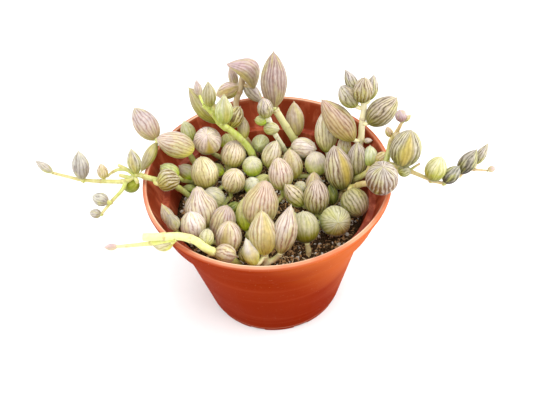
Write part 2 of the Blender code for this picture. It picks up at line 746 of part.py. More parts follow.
def leaf_solid(name, leaf, collection):
    """A round leaf, plump between its stalk and its pointed tip."""
    span = leaf.tip - leaf.foot
    side = bow_side(span)
    slimness = span.length / leaf.width
    turn = span.to_track_quat("Z", "Y")
    sides, rows = SMALL_LEAF_CUT if leaf.width < SMALL_LEAF else LEAF_CUT
    facets = 1 / math.cos(math.pi / sides / 2)
    shape = bmesh.new()
    bmesh.ops.create_uvsphere(shape, u_segments=sides, v_segments=rows, radius=1)
    for vert in shape.verts:
        share = min(max((1 + vert.co.z) / 2, 0), 1)
        around = Vector((vert.co.x, vert.co.y, 0))
        out = Vector((0, 0, 0))
        if around.length > WELD:
            out = around.normalized() * leaf.width / 2 * fullness(share, slimness) * facets
        bow = side * leaf.bow * 4 * share * (1 - share)
        vert.co = (leaf.foot + span * share + turn @ out + bow) * MM
    return object_from_bmesh(name, shape, collection)


def nearest_on_stems(place, strand):
    lines = [smooth_path(stem.path, SEARCH_STEPS) for stem in strand.stems]
    return min((point for line in lines for point in line), key=lambda point: (point - place).length)


def stalk(name, leaf, strand, collection):
    """The short stalk from the nearest stem into the foot of the leaf."""
    start = nearest_on_stems(leaf.foot, strand)
    end = leaf.foot + (leaf.tip - leaf.foot).normalized() * STALK_SUNK
    if (end - start).length < STALK_RADIUS:
        end = start + (leaf.tip - leaf.foot).normalized() * 2 * STALK_RADIUS
    return tube(name, [start, end], STALK_RADIUS, STALK_RADIUS, STALK_CORNERS, collection)


def make_strand(name, strand, parts, pieces):
    """One leafy strand fused into one solid, its first stem rooted below the soil's top."""
    rooted = strand.stems[0]
    root = rooted.path[0] - Vector((0, 0, ROOT_DEPTH))
    path = [root, *rooted.path]
    body = tube(name, path, rooted.start_radius, rooted.end_radius, STEM_CORNERS, parts)
    for i, stem in enumerate(strand.stems[1:]):
        branch = name + "_branch_" + str(i)
        tube(branch, stem.path, stem.start_radius, stem.end_radius, STEM_CORNERS, pieces)
    for leaf in strand.leaves:
        leaf_solid(name + "_" + leaf.name, leaf, pieces)
        stalk(name + "_" + leaf.name + "_stalk", leaf, strand, pieces)
    body = boolean(body, "UNION", pieces)
    keep_largest_body(body)
    body.data.materials.append(strand_material(name))
    return body


def main():
    clear_scene()
    parts = new_collection("string_of_watermelons", hidden=False)
    cutters = new_collection("cutters", hidden=True)
    pieces = new_collection("strand_pieces", hidden=True)
    make_pot(parts, cutters)
    make_soil(parts, cutters)
    for name, strand in STRANDS.items():
        make_strand(name, strand, parts, pieces)


if __name__ == "__main__":
    main()
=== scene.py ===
"""String of watermelons in its nursery pot: the finish of every piece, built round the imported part.

The strand lists are in millimetres and hold the same stems and leaves as the part's solids. Other
lengths are in metres. The origin is the centre of the pot's underside, +Z is up and -Y faces the
viewer of the photograph.
"""

import itertools
import math
import random
from collections import namedtuple

import bmesh
import bpy
from bpy.props import (
    FloatProperty,
    FloatVectorProperty,
    IntProperty,
    PointerProperty,
)
from mathutils import Matrix, Vector, noise


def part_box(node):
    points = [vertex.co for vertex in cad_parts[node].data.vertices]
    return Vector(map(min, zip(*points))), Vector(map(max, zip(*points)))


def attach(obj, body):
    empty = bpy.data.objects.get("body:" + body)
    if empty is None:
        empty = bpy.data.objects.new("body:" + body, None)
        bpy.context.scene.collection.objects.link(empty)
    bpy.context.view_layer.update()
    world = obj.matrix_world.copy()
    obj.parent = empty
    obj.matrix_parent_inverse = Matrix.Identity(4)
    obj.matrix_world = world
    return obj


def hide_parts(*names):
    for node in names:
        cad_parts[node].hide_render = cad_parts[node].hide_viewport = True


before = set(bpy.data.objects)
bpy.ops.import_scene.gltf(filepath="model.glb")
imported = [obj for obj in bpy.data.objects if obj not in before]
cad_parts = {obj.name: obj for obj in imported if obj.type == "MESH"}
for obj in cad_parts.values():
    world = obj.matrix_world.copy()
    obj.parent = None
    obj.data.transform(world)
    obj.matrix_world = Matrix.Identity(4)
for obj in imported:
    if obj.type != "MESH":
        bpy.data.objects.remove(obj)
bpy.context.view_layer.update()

bl_info = {
    "name": "String of Watermelons",
    "version": (1, 0, 0),
    "blender": (4, 5, 0),
    "location": "3D View > Sidebar > Watermelons",
    "description": "Dresses a potted string of watermelons with its skin, stems, soil and pot",
    "category": "Add Mesh",
}

MM = 0.001
SEED = 7

# A ring narrower than this is one point on the axis
POINT_RADIUS = 0.00001

# The pot and its soil, as in the part's solids
POT_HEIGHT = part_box("pot")[1].z
RIM_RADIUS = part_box("pot")[1].x
LIP_THICKNESS = 1.5 * MM
LIP_HEIGHT = 2.0 * MM
LIP_ROUND = 0.5 * MM
LIP_STEP = 0.6 * MM
COLLAR_FOOT_RADIUS = 41.25 * MM
COLLAR_FOOT_HEIGHT = 49.9 * MM
BODY_TOP_RADIUS = 38.4 * MM
BASE_RADIUS = 28.5 * MM
WALL = 1.2 * MM
FLOOR = 2.0 * MM
FOOT_CHAMFER = 0.5 * MM
FLOOR_BEVEL = 0.8 * MM
CORNER_BEVEL = 0.3 * MM
NOTCHES = 10
NOTCH_WIDTH = 6.0 * MM
NOTCH_DEPTH = 3.2 * MM
NOTCH_HEIGHT = 1.3 * MM
DRAIN_HOLES = 5
DRAIN_RADIUS = 3.0 * MM
DRAIN_CIRCLE = 16.0 * MM
CUTTER_OVERSHOOT = 3.0 * MM
FIT = 0.3 * MM
SOIL_TOP = 43.6 * MM
SOIL_BUMP = 0.45 * MM
SOIL_BUMP_SIZE = 7.0 * MM

# What is finer here than in the solids. An arc of the pot's profile reaches no further than the
# shorter stretch beside it divided by CORNER_ROOM.
ARC_STEPS = 4
CORNER_ROOM = 2.1
SHARP_ANGLE = math.radians(35)
DRAIN_SIDES = 32
SOIL_LUMP = 0.25 * MM
SOIL_LUMP_SIZE = 1.6 * MM
SOIL_RINGS = 26
SOIL_SIDES = 110
GRAIN_ROUGHNESS = 0.4 * MM
GRAIN_BUMPS = 1400.0
FIRST_GRAIN_SEED = 11
GRAIN_WIDTHS = (0.6, 1.3)
GRAIN_HEIGHTS = (0.5, 1.0)

# The outline of a leaf, as in the part's solids. A taper is its least, its growth with the leaf's
# slimness and its most.
LEAF_WIDEST = 0.46
FOOT_TAPER = (0.48, 0.2, 0.8)
TIP_TAPER = (0.45, 0.37, 0.95)

# The neck below a leaf's tip, as shares of its length, and how slim a leaf must be to have one
NECK_PLACE = 0.85
NECK_LENGTH = 0.15
NECK_SLIMNESS = 1.15

# The thorn on a leaf's tip, in millimetres. Its limit is a share of the leaf's width, and its waist a
# share of its own radius.
THORN_RADIUS = 0.3
THORN_LENGTH = 0.5
THORN_LIMIT = 0.05
THORN_WAIST = 0.6

# The depths of the groove under the window and of the lumps are shares of the leaf's radius. The size
# of a lump, and how far the lumps move on from foot to tip, are in millimetres.
GROOVE = 0.05
LUMP = 0.035
LUMP_SIZE = 4.5
LUMP_CHANGE = 6

# A leaf that is given no window angle has its window at the back, give or take this many degrees. A
# leaf points at the camera when less than this share of the line of sight lies square to it.
USUAL_WINDOW = 180
WINDOW_CHANCE = 50
POINTS_AT_CAMERA = 0.4
FEWEST_STRIPES = 12

# How sunny a leaf is, from 0 to 1: halfway, and more where it faces up and nearer its tip. It is partly the
# real bloom on the tops and green below, and partly painted light and shade.
SUN_BASE = 0.5
SUN_FROM_ABOVE = 0.6
SUN_TOWARDS_TIP = 0.55

# Stems and stalks, in millimetres as the strand lists are
ROOT_DEPTH = 6.0
STALK_RADIUS = 0.75
STALK_END_RADIUS = 0.9
STALK_SUNK = 0.9
STALK_SHARE = 0.16
STALK_SAG = 0.3
STALK_BEND = 0.4
PATH_STEPS = 8
JOINT_SHARPNESS = 18.0

# The floor and the nearest that the camera sees are in metres. The studio light makes a surface this
# much brighter than its own colour.
FLOOR_SIZE = 6.0
CLIP_START = 0.01
STUDIO_LIGHT = 1.35

# The camera stands where the photograph, 533 by 400 pixels, was taken from
PHOTO_WIDTH = 533
PHOTO_CENTRE = (266.5, 200.0)
FOCAL_PIXELS = 575.7
SENSOR = 36.0
VIEW_DISTANCE = 220.0
VIEW_ELEVATION = math.radians(45.85)
VIEW_ROLL = math.radians(4.74)
VIEW_AIM = Vector((-0.9, 0.0, 47.2))

Stem = namedtuple("Stem", "start_radius end_radius path")
Leaf = namedtuple("Leaf", "name look width foot tip bow window clear neck", defaults=(0.0, None, 0.3, 0.05))
Strand = namedtuple("Strand", "stems leaves")
Look = namedtuple("Look", "tip body foot stripe strength")
Greens = namedtuple("Greens", "root end")
Crumb = namedtuple("Crumb", "kind piece roughness slimness tilt")
Lamp = namedtuple("Lamp", "name place size")
Trait = namedtuple("Trait", "look cast count window chance")

# The crumbs. Slimness is their thickness as a share of their length, and tilt how far, in radians, they
# lean either way.
CRUMBS = (
    Crumb("bark", "bark_crumbs", 0.85, 0.7, math.pi),
    Crumb("fibre", "fibres", 0.8, 0.16, 0.4),
    Crumb("perlite", "perlite_grains", 0.6, 0.9, math.pi),
)

# The place and the width of each lamp, in metres
LAMPS = (
    Lamp("key", (0.14, 0.24, 0.58), 0.5),
    Lamp("left", (-0.5, -0.1, 0.24), 0.4),
    Lamp("right", (0.48, -0.12, 0.3), 0.6),
    Lamp("front", (-0.08, -0.3, 0.62), 0.4),
)


def tone(red, green, blue):
    """The linear colour that looks like this on a screen under the studio light; 255 is white there."""
    return tuple((value / 255) ** 2.2 / STUDIO_LIGHT for value in (red, green, blue))


def toned(tip, body, foot, stripe, strength):
    """A leaf's colours, given as they look on a screen, and how strong its stripes are."""
    return Look(tone(*tip), tone(*body), tone(*foot), tone(*stripe), strength)


# How a leaf is coloured: its sunny tip, its body, its shaded foot and its stripes. The sunny tip and shaded
# foot are partly painted light and shade, laid on by which way the skin faces. A foot that lies in the
# others' shade is given brighter than it looks there, as painted light, and some are past 255.
LOOKS = {
    "lilac": toned((228, 208, 198), (222, 204, 164), (216, 224, 62), (150, 96, 82), 0.75),
    "cream": toned((226, 206, 180), (226, 212, 140), (272, 268, 86), (152, 94, 68), 0.6),
    "pink": toned((204, 178, 172), (206, 184, 162), (220, 204, 160), (150, 108, 94), 0.5),
    "striped": toned((206, 188, 168), (190, 176, 116), (162, 168, 32), (110, 70, 54), 0.9),
    "grey": toned((210, 196, 190), (200, 188, 162), (192, 192, 96), (124, 96, 90), 0.6),
    "grey_green": toned((204, 194, 178), (186, 180, 126), (170, 180, 44), (106, 82, 66), 0.8),
    "green_striped": toned((222, 210, 172), (194, 194, 90), (158, 190, 12), (96, 82, 30), 0.85),
    "green": toned((214, 218, 150), (194, 216, 80), (176, 226, 32), (112, 118, 42), 0.4),
    "plain": toned((226, 220, 184), (206, 212, 122), (188, 208, 54), (168, 162, 92), 0.55),
    "glossy": toned((240, 236, 212), (232, 256, 86), (226, 275, 30), (150, 160, 66), 0.3),
    "dark": toned((158, 156, 136), (82, 78, 48), (40, 32, 8), (54, 42, 34), 0.6),
    "yellow": toned((232, 228, 180), (178, 180, 62), (118, 122, 18), (112, 96, 40), 0.5),
    "silver": toned((212, 208, 190), (222, 222, 184), (236, 240, 150), (142, 138, 104), 0.5),
    "brown_striped": toned((198, 180, 170), (136, 98, 58), (84, 44, 4), (104, 60, 42), 0.85),
    "rim_green": toned((192, 188, 148), (166, 168, 84), (130, 150, 16), (88, 82, 32), 0.65),
    "green_frosted": toned((210, 206, 164), (158, 164, 44), (104, 116, 0), (100, 102, 24), 0.36),
    "green_ball": toned((206, 198, 158), (166, 170, 60), (128, 148, 4), (92, 80, 32), 0.45),
    "olive_lilac": toned((192, 176, 142), (166, 158, 62), (130, 138, 8), (120, 104, 48), 0.35),
    "olive_striped": toned((178, 166, 118), (174, 158, 72), (166, 146, 34), (92, 58, 32), 0.95),
    "rosy": toned((174, 142, 134), (178, 148, 128), (196, 164, 116), (140, 96, 84), 0.6),
    "tan": toned((210, 184, 162), (200, 176, 124), (214, 204, 72), (138, 84, 64), 0.72),
    "light_cream": toned((250, 238, 216), (238, 224, 166), (212, 216, 62), (146, 100, 64), 0.65),
    "vivid": toned((224, 220, 150), (240, 262, 70), (260, 285, 40), (130, 134, 44), 0.35),
    "deep_green": toned((112, 124, 50), (94, 108, 24), (80, 94, 12), (60, 62, 16), 0.35),
    "pale_lilac": toned((250, 238, 230), (242, 228, 202), (220, 222, 110), (166, 118, 98), 0.6),
    "sage": toned((214, 206, 174), (198, 194, 126), (180, 186, 62), (132, 116, 70), 0.55),
    "milky": toned((246, 246, 228), (262, 275, 140), (250, 285, 80), (196, 186, 150), 0.3),
    "slate": toned((208, 198, 190), (176, 162, 152), (154, 140, 110), (112, 90, 92), 0.55),
    "mauve": toned((210, 188, 180), (206, 186, 156), (214, 204, 110), (150, 100, 90), 0.65),
    "straw": toned((268, 250, 220), (240, 222, 148), (204, 198, 56), (148, 96, 60), 0.65),
    "outer_striped": toned((196, 178, 154), (172, 154, 100), (142, 142, 28), (104, 66, 50), 0.9),
    "old_cream": toned((212, 192, 170), (214, 196, 146), (226, 230, 84), (148, 86, 70), 0.65),
    "frost_lilac": toned((268, 252, 244), (256, 240, 220), (236, 232, 140), (160, 112, 92), 0.6),
    "ball_cream": toned((244, 232, 202), (214, 200, 134), (168, 168, 38), (146, 100, 64), 0.65),
    "glass": toned((240, 226, 204), (262, 270, 150), (250, 280, 90), (160, 160, 100), 0.3),
    "plum": toned((204, 180, 190), (178, 142, 142), (164, 126, 114), (130, 84, 90), 0.3),
    "mint": toned((214, 218, 168), (224, 234, 160), (222, 242, 110), (150, 150, 90), 0.4),
    "outer_grey": toned((190, 178, 152), (150, 140, 90), (118, 122, 22), (92, 72, 52), 0.85),
    "tan_plain": toned((212, 190, 162), (198, 176, 128), (182, 170, 70), (150, 110, 80), 0.35),
    "wall_grey": toned((180, 166, 148), (216, 210, 170), (270, 272, 200), (134, 122, 100), 0.45),
    "outer_mauve": toned((202, 184, 176), (194, 170, 136), (176, 164, 70), (146, 98, 88), 0.65),
    "back_sage": toned((194, 184, 150), (182, 174, 108), (176, 180, 58), (126, 108, 66), 0.55),
    "back_olive": toned((178, 162, 130), (158, 148, 56), (124, 130, 4), (114, 98, 44), 0.35),
    "olive": toned((152, 150, 34), (138, 142, 8), (124, 134, 4), (128, 110, 30), 0.2),
    "bud": toned((226, 202, 164), (210, 190, 124), (200, 188, 80), (146, 94, 76), 0.65),
    "blush": toned((226, 194, 190), (226, 198, 170), (228, 222, 146), (190, 120, 110), 0.2),
}


def sight_axes():
    """The camera's right, up and forward directions."""
    forward = Vector((0, math.cos(VIEW_ELEVATION), -math.sin(VIEW_ELEVATION)))
    level = Vector((1, 0, 0))
    upright = level.cross(forward)
    right = level * math.cos(VIEW_ROLL) - upright * math.sin(VIEW_ROLL)
    up = level * math.sin(VIEW_ROLL) + upright * math.cos(VIEW_ROLL)
    return right, up, forward


SIGHT_RIGHT, SIGHT_UP, SIGHT_FORWARD = sight_axes()
EYE = VIEW_AIM - SIGHT_FORWARD * VIEW_DISTANCE


def seen(across, down, height):
    """The place at this height above the table that the photograph shows at this pixel."""
    line = (
        SIGHT_FORWARD
        + SIGHT_RIGHT * ((across - PHOTO_CENTRE[0]) / FOCAL_PIXELS)
        + SIGHT_UP * ((PHOTO_CENTRE[1] - down) / FOCAL_PIXELS)
    )
    return EYE + line * ((height - EYE.z) / line.z)


def at(x, y, z):
    """A place that the leaves hide in the photograph, in the object's own frame."""
    return Vector((x, y, z))


# Each strand: its stems from the soil outwards, and its leaves from stalk to tip. A window is the
# clear strip along a leaf, by its angle from the side that faces the camera. Clear is how much of the
# skin's colour the strip hides, and neck how far the leaf is drawn in below its tip.

LEFT_TRAILER = Strand(
    stems=[
        Stem(1.25, 0.5, [
            at(-30, 4, 44), at(-30.5, 5, 47.5), seen(175, 186, 56), seen(160, 181, 62.5),
            seen(147, 177.5, 65), seen(137, 175, 65.6), seen(126, 181, 65.4), seen(110, 181.5, 65.2),
            seen(95, 181, 65), seen(80, 179.5, 65), seen(65, 176, 65.6), seen(53, 173, 66.4),
        ]),
        Stem(0.8, 0.5, [
            seen(126, 181, 65.4), seen(122, 190, 63.5), seen(112, 201, 60.5), seen(101, 214.5, 57.5),
        ]),
        Stem(0.8, 0.4, [
            seen(136, 174, 66), seen(127, 170, 68), seen(119, 169.5, 68.6), seen(112, 172.5, 67.6),
            seen(107, 177, 66.2),
        ]),
        Stem(0.8, 0.6, [seen(135, 175, 66), seen(126, 169, 68.6), seen(118, 165, 70)]),
        Stem(0.8, 0.6, [seen(131, 178, 65.6), seen(119, 175, 67.6)]),
    ],
    leaves=[
        Leaf("tip", "grey", 3.2, seen(53, 173, 66.4), seen(35.5, 161, 70)),
        Leaf("upright", "slate", 6.0, seen(82.5, 179.5, 65.6), seen(78.5, 151.5, 76)),
        Leaf("bud", "bud", 3.8, seen(104, 179, 66), seen(101, 164, 71.5)),
        Leaf("side", "grey_green", 4.9, seen(137, 174, 66.6), seen(131, 149, 76), window=-20, clear=0.5),
        Leaf("under", "olive", 5.0, seen(138, 183, 64), seen(125, 189, 60)),
        Leaf("round_a", "slate", 4.9, seen(108, 202, 61), seen(93, 196.5, 62)),
        Leaf("round_b", "slate", 3.4, seen(101, 214.5, 57.5), seen(90, 212.5, 58)),
        Leaf("curled", "olive_striped", 7.8, seen(158, 185, 65.5), seen(179, 178, 65.5), 1.0),
        Leaf("small", "green", 3.0, seen(196, 189, 49), seen(183, 187, 49.5)),
        Leaf("hidden", "green", 5.6, at(-29.8, 2.2, 46.9), at(-28.5, -3.5, 50.5)),
    ],
)

FRONT_LEFT_TRAILER = Strand(
    stems=[
        Stem(1.5, 1.2, [
            at(-12.8, -28.6, 44), at(-13.4, -30.2, 49), seen(223, 256, 56), seen(213, 252, 60.5),
            seen(204, 247, 63.2), seen(195, 240.5, 65.6), seen(181, 236.5, 67), seen(166, 236.5, 68),
            seen(154, 237, 68.6), seen(143, 237, 68.8),
        ]),
        Stem(0.9, 0.5, [
            seen(176, 238.5, 67), seen(160, 242, 66), seen(145, 244, 64.8), seen(130, 245.5, 63.6),
            seen(117, 246.5, 62.8),
        ]),
    ],
    leaves=[
        Leaf("tip", "blush", 2.3, seen(118, 246.5, 62.8), seen(104, 247.5, 62.4)),
        Leaf("under", "cream", 4.8, seen(173, 242.5, 65.5), seen(152, 243, 63.7), -0.6),
        Leaf("heel", "tan", 6.2, seen(215, 251, 60.5), seen(236, 256, 58.5)),
        Leaf("pale", "sage", 5.1, seen(205, 246, 60.5), seen(208, 229.5, 61)),
    ],
)

UPPER_LEFT_SPRAY = Strand(
    stems=[
        Stem(1.2, 0.9, [
            at(-26.5, 17, 44), at(-27.3, 17.7, 50), at(-29.8, 18.8, 58), seen(182, 147, 63),
            seen(168, 143.5, 66.2), seen(158, 140, 67.5),
        ]),
    ],
    leaves=[
        Leaf("outer", "outer_mauve", 9.0, seen(156.5, 139.5, 68), seen(134.5, 108.5, 74)),
        Leaf("hanging", "olive_lilac", 4.4, seen(157, 142, 69), seen(141, 172, 63.5)),
        Leaf("broad", "cream", 9.8, seen(194, 150, 63.3), seen(157, 138.5, 71.3)),
        Leaf("green", "plain", 5.8, seen(192, 141, 60), seen(184, 121.5, 67.5)),
    ],
)

BACK_LEFT_SPRAY = Strand(
    stems=[
        Stem(1.5, 1.1, [
            at(-4.5, 19, 44), at(-4.5, 19, 51), seen(250, 150, 56.5), seen(242, 140, 62),
            seen(230, 130, 68), seen(222, 125, 71), seen(212, 112, 77), seen(204, 105, 80),
        ]),
    ],
    leaves=[
        Leaf("long", "back_olive", 8.2, seen(218, 123, 69), seen(189, 88, 79)),
        Leaf("thin", "pink", 3.0, seen(200, 97, 79), seen(196, 80, 84)),
        Leaf("upright", "back_sage", 5.2, seen(210, 107, 79.5), seen(208, 82, 90), neck=0.15),
        Leaf("front", "plain", 6.6, seen(224, 124, 73), seen(224, 95, 86), window=20, clear=0.4, neck=0.25),
        Leaf("striped", "olive_striped", 7.0, seen(229, 127, 68), seen(240, 107, 73), window=-35, clear=0.4),
        Leaf("pale", "olive_lilac", 4.8, seen(244, 140, 62.5), seen(243, 116, 66.5)),
    ],
)

BACK_HOOK = Strand(
    stems=[
        Stem(1.1, 1.4, [
            at(-5.4, 32, 44), at(-5.4, 32.2, 47), seen(244, 135, 53), seen(238, 118, 59),
            seen(236, 105, 63.5), seen(237, 98, 66), seen(239.5, 91, 68.5), seen(241.5, 84, 71),
            seen(243, 77, 73.5),
        ]),
    ],
    leaves=[
        Leaf("arched", "pink", 8.8, seen(255, 88, 70), seen(227, 64, 80), 5.0, window=-60, clear=0.5),
        Leaf("inner", "pink", 4.0, seen(236, 87, 69), seen(230, 66, 77)),
        Leaf("right", "grey", 5.6, seen(244, 84, 70.5), seen(262, 102, 63.5)),
        Leaf("left", "lilac", 6.8, seen(239, 86, 70.5), seen(216.5, 95.5, 66), window=0, clear=0.7),
    ],
)

TALL_STEM = Strand(
    stems=[
        Stem(1.5, 1.4, [
            at(14.5, 26, 44), at(14.2, 26, 49), seen(295, 141, 53.5), seen(288, 130, 60.5),
            seen(280, 117, 67), seen(275, 109, 70.5),
        ]),
    ],
    leaves=[
        Leaf("tall", "rosy", 10.3, seen(274, 108, 71), seen(273.5, 52, 88), neck=0.0),
        Leaf("upright", "tan_plain", 7.4, seen(296, 137, 55), seen(294, 102, 66)),
        Leaf("hidden", "green", 5.4, at(15.8, 26.5, 46.9), at(20.5, 26.8, 50.6)),
    ],
)

BUD_STEM = Strand(
    stems=[
        Stem(1.2, 0.8, [
            at(9.5, 26, 44), at(9.3, 25.4, 47), seen(286, 152, 50), seen(280, 142, 57),
            seen(274, 132, 64), seen(270, 121, 69), seen(267, 116, 72),
        ]),
    ],
    leaves=[
        Leaf("top", "grey_green", 6.0, seen(267, 118, 71), seen(263.5, 98.5, 78.5), neck=0.0),
        Leaf("green_bud", "green", 4.0, seen(267, 121, 69.5), seen(255, 120, 69.5), neck=0.0),
        Leaf("horned", "sage", 5.0, seen(264, 128, 66), seen(279, 129, 67)),
    ],
)

BACK_GROUP = Strand(
    stems=[
        Stem(1.0, 0.9, [
            at(2, 24, 44), at(2, 24, 46.2), at(3.5, 18, 46.5), at(9, 13, 46.5), at(18, 12, 46.5),
        ]),
        Stem(0.9, 0.8, [at(2, 24, 46.4), at(-0.4, 31.5, 47.2)]),
    ],
    leaves=[
        Leaf("sideways", "pale_lilac", 8.3, seen(291, 147, 54), seen(316, 149, 55)),
        Leaf("striped", "cream", 8.2, seen(294.5, 179, 48), seen(289.5, 149.5, 58.5), window=-20, clear=0.5),
        Leaf("round", "glass", 8.9, seen(317, 173, 48), seen(315, 154, 58), neck=0.0),
        Leaf("facing", "mint", 7.3, seen(262, 141, 49), seen(259, 147, 57.5), neck=0.0),
        Leaf("pale", "light_cream", 7.6, seen(267, 167, 51), seen(276.5, 141, 60.5)),
    ],
)

BACK_RIGHT_SPRAY = Strand(
    stems=[
        Stem(1.4, 1.1, [
            at(29.3, 13, 44), at(30.4, 13.6, 49), seen(358, 149, 56), seen(361, 138, 61),
            seen(362, 124, 67), seen(363.5, 112, 72), seen(364, 103, 76),
        ]),
        Stem(0.9, 0.8, [at(29.6, 13.2, 46.5), at(26.2, 17, 47.5)]),
    ],
    leaves=[
        Leaf("broad", "tan", 10.3, seen(354, 141, 61), seen(322, 100, 75), window=-15, clear=0.35),
        Leaf("behind", "light_cream", 9.2, seen(327, 153, 51.5), seen(325, 110, 65.5)),
        Leaf("hidden", "cream", 5.5, seen(344.5, 158, 52), seen(344, 134, 60)),
        Leaf("left", "grey_green", 7.3, seen(356, 107, 74), seen(341, 86, 81), window=35, clear=0.4),
        Leaf("back", "grey_green", 4.6, seen(357, 93, 78), seen(345.5, 70, 86)),
        Leaf("crown", "outer_striped", 7.3, seen(362, 102, 76.5), seen(364.5, 78, 87)),
        Leaf("green", "grey_green", 4.8, seen(370, 100, 77), seen(374, 75, 86)),
        Leaf("right", "outer_grey", 9.8, seen(368, 124, 68), seen(396.5, 98, 77)),
        Leaf("stub", "pale_lilac", 2.2, seen(364, 141, 60), seen(372, 140.5, 62)),
        Leaf("low", "green", 5.2, at(28.6, 12, 47.2), at(25, 8, 51)),
    ],
)

RIGHT_TRAILER = Strand(
    stems=[
        Stem(1.3, 0.35, [
            at(30.8, 6, 44), at(30.9, 5, 47.5), seen(362, 176, 56.5), seen(376, 167, 62.5),
            seen(385, 164, 65), seen(393, 165, 66), seen(400, 168, 66), seen(412, 172, 65.4),
            seen(424, 177, 64.4), seen(434, 181, 63.4), seen(446, 183, 63), seen(458, 177, 63.4),
            seen(470, 170, 64.4), seen(488, 170.5, 65.4),
        ]),
        Stem(1.1, 0.5, [
            seen(386, 163.5, 65.2), seen(389, 150, 69), seen(391, 141, 72), seen(396, 133, 75),
            seen(400, 126, 78), seen(403, 120, 80),
        ]),
        Stem(0.5, 0.4, [seen(410, 170, 66), seen(416, 166, 67.4), seen(420, 163.5, 68.4)]),
        Stem(1.2, 1.0, [
            at(30.9, 5.4, 46.5), seen(352, 187.5, 54), seen(362, 184, 60), seen(372, 184, 64),
            seen(379, 188, 65),
        ]),
        Stem(0.9, 0.8, [at(30.8, 5.6, 46.5), at(28.5, 1.5, 47), at(26.2, -2, 46.8)]),
    ],
    leaves=[
        Leaf("broad", "outer_grey", 10.8, seen(401, 166, 67), seen(411, 130.5, 79), window=8, clear=0.8),
        Leaf("purple_bud", "plum", 4.0, seen(402, 121, 79.8), seen(400, 110.5, 84), neck=0.0),
        Leaf("spur", "bud", 1.8, seen(404, 121.5, 79.8), seen(411, 115, 82)),
        Leaf("small_a", "bud", 2.8, seen(391, 137, 72.5), seen(387, 127, 76)),
        Leaf("small_b", "bud", 2.8, seen(394, 140, 72.5), seen(399, 131, 76)),
        Leaf("dark", "rim_green", 4.2, seen(398, 172, 65.5), seen(411, 170, 65.8)),
        Leaf("yellow", "yellow", 7.2, seen(431, 180.5, 63.6), seen(441, 157, 72)),
        Leaf("second", "dark", 5.3, seen(444, 183, 63), seen(459, 166.5, 68)),
        Leaf("third", "dark", 5.8, seen(459, 174, 63.6), seen(476.5, 150, 71)),
        Leaf("last", "grey_green", 3.5, seen(475, 165, 64.6), seen(488, 143.5, 71)),
        Leaf("bud", "blush", 2.2, seen(488, 170.5, 65.4), seen(495, 167.5, 67)),
        Leaf("brown_bud", "bud", 3.9, seen(377, 161, 62.5), seen(386, 153, 66)),
        Leaf("round", "brown_striped", 10.7, seen(381, 188, 65), seen(383, 167, 78), neck=0.0),
        Leaf("beside_rim", "rim_green", 10.2, seen(348, 190.5, 55.5), seen(361.5, 215, 51.5), neck=0.0),
        Leaf("window", "striped", 10.8, seen(343, 190, 50), seen(334, 146, 65), window=30, clear=0.9),
        Leaf("striped", "grey_green", 8.0, seen(357, 177, 52), seen(357.5, 142.5, 65), neck=0.0),
        Leaf("pale", "plain", 5.8, seen(370, 167, 57.5), seen(370, 146, 63), neck=0.0),
        Leaf("under", "deep_green", 5.0, seen(333, 205, 46.8), seen(331, 184, 52)),
    ],
)

FRONT_RIGHT_GROUP = Strand(
    stems=[
        Stem(1.1, 0.8, [
            at(19, -13, 44), at(19, -12.5, 46.4), at(17, -6, 46.3), at(14.5, 0, 46.3),
        ]),
        Stem(0.8, 0.7, [at(19, -13, 46.3), at(12, -14, 46.2), at(4, -15.5, 46.2)]),
    ],
    leaves=[
        Leaf("facing", "green_ball", 10.9, seen(333, 220, 49.5), seen(338, 222.5, 58.5), window=180,
             neck=0.0),
        Leaf("striped", "striped", 9.5, seen(316, 214, 48), seen(317, 180, 60), neck=0.0),
        Leaf("behind", "cream", 6.4, seen(314, 195, 47), seen(314, 172.5, 56)),
        Leaf("green", "green_striped", 6.8, seen(303, 206, 50), seen(285.5, 185, 57)),
        Leaf("pale", "plain", 5.2, seen(300, 191, 48), seen(300.8, 184, 53)),
        Leaf("low_a", "deep_green", 5.4, at(13.2, -14.2, 46.9), at(12.6, -17, 51.4)),
        Leaf("low_b", "vivid", 5.4, at(8.5, -14.5, 46.9), at(7, -11, 51.6)),
        Leaf("low_c", "vivid", 5.4, at(4, -15.5, 46.9), at(3, -19, 51.6)),
    ],
)

FRONT_STEM = Strand(
    stems=[Stem(0.9, 0.9, [at(12.4, -25.6, 44), at(12.3, -25.6, 47), seen(307, 243, 50.5)])],
    leaves=[Leaf("round", "green_frosted", 10.0, seen(307.5, 243, 50), seen(303, 211.5, 58.5), neck=0.0)],
)

FRONT_GROUP = Strand(
    stems=[
        Stem(1.3, 1.3, [at(-3, -29.4, 44), at(-3, -29.5, 47), seen(264.5, 255, 51)]),
        Stem(1.1, 0.9, [at(-3, -29.5, 46.4), seen(274, 259.5, 47.6), seen(280, 254.5, 51)]),
    ],
    leaves=[
        Leaf("centre", "cream", 9.9, seen(264.5, 255, 51), seen(261.5, 211, 65), window=18, clear=0.6,
             neck=0.15),
        Leaf("right", "lilac", 8.3, seen(280, 254, 51), seen(291, 205.5, 66), neck=0.15),
        Leaf("translucent", "milky", 5.7, seen(255, 266, 50), seen(246, 239, 58), window=20, clear=0.5,
             neck=0.2),
        Leaf("dark", "green_striped", 4.0, seen(244.5, 262, 48), seen(243.5, 246, 53.5)),
    ],
)

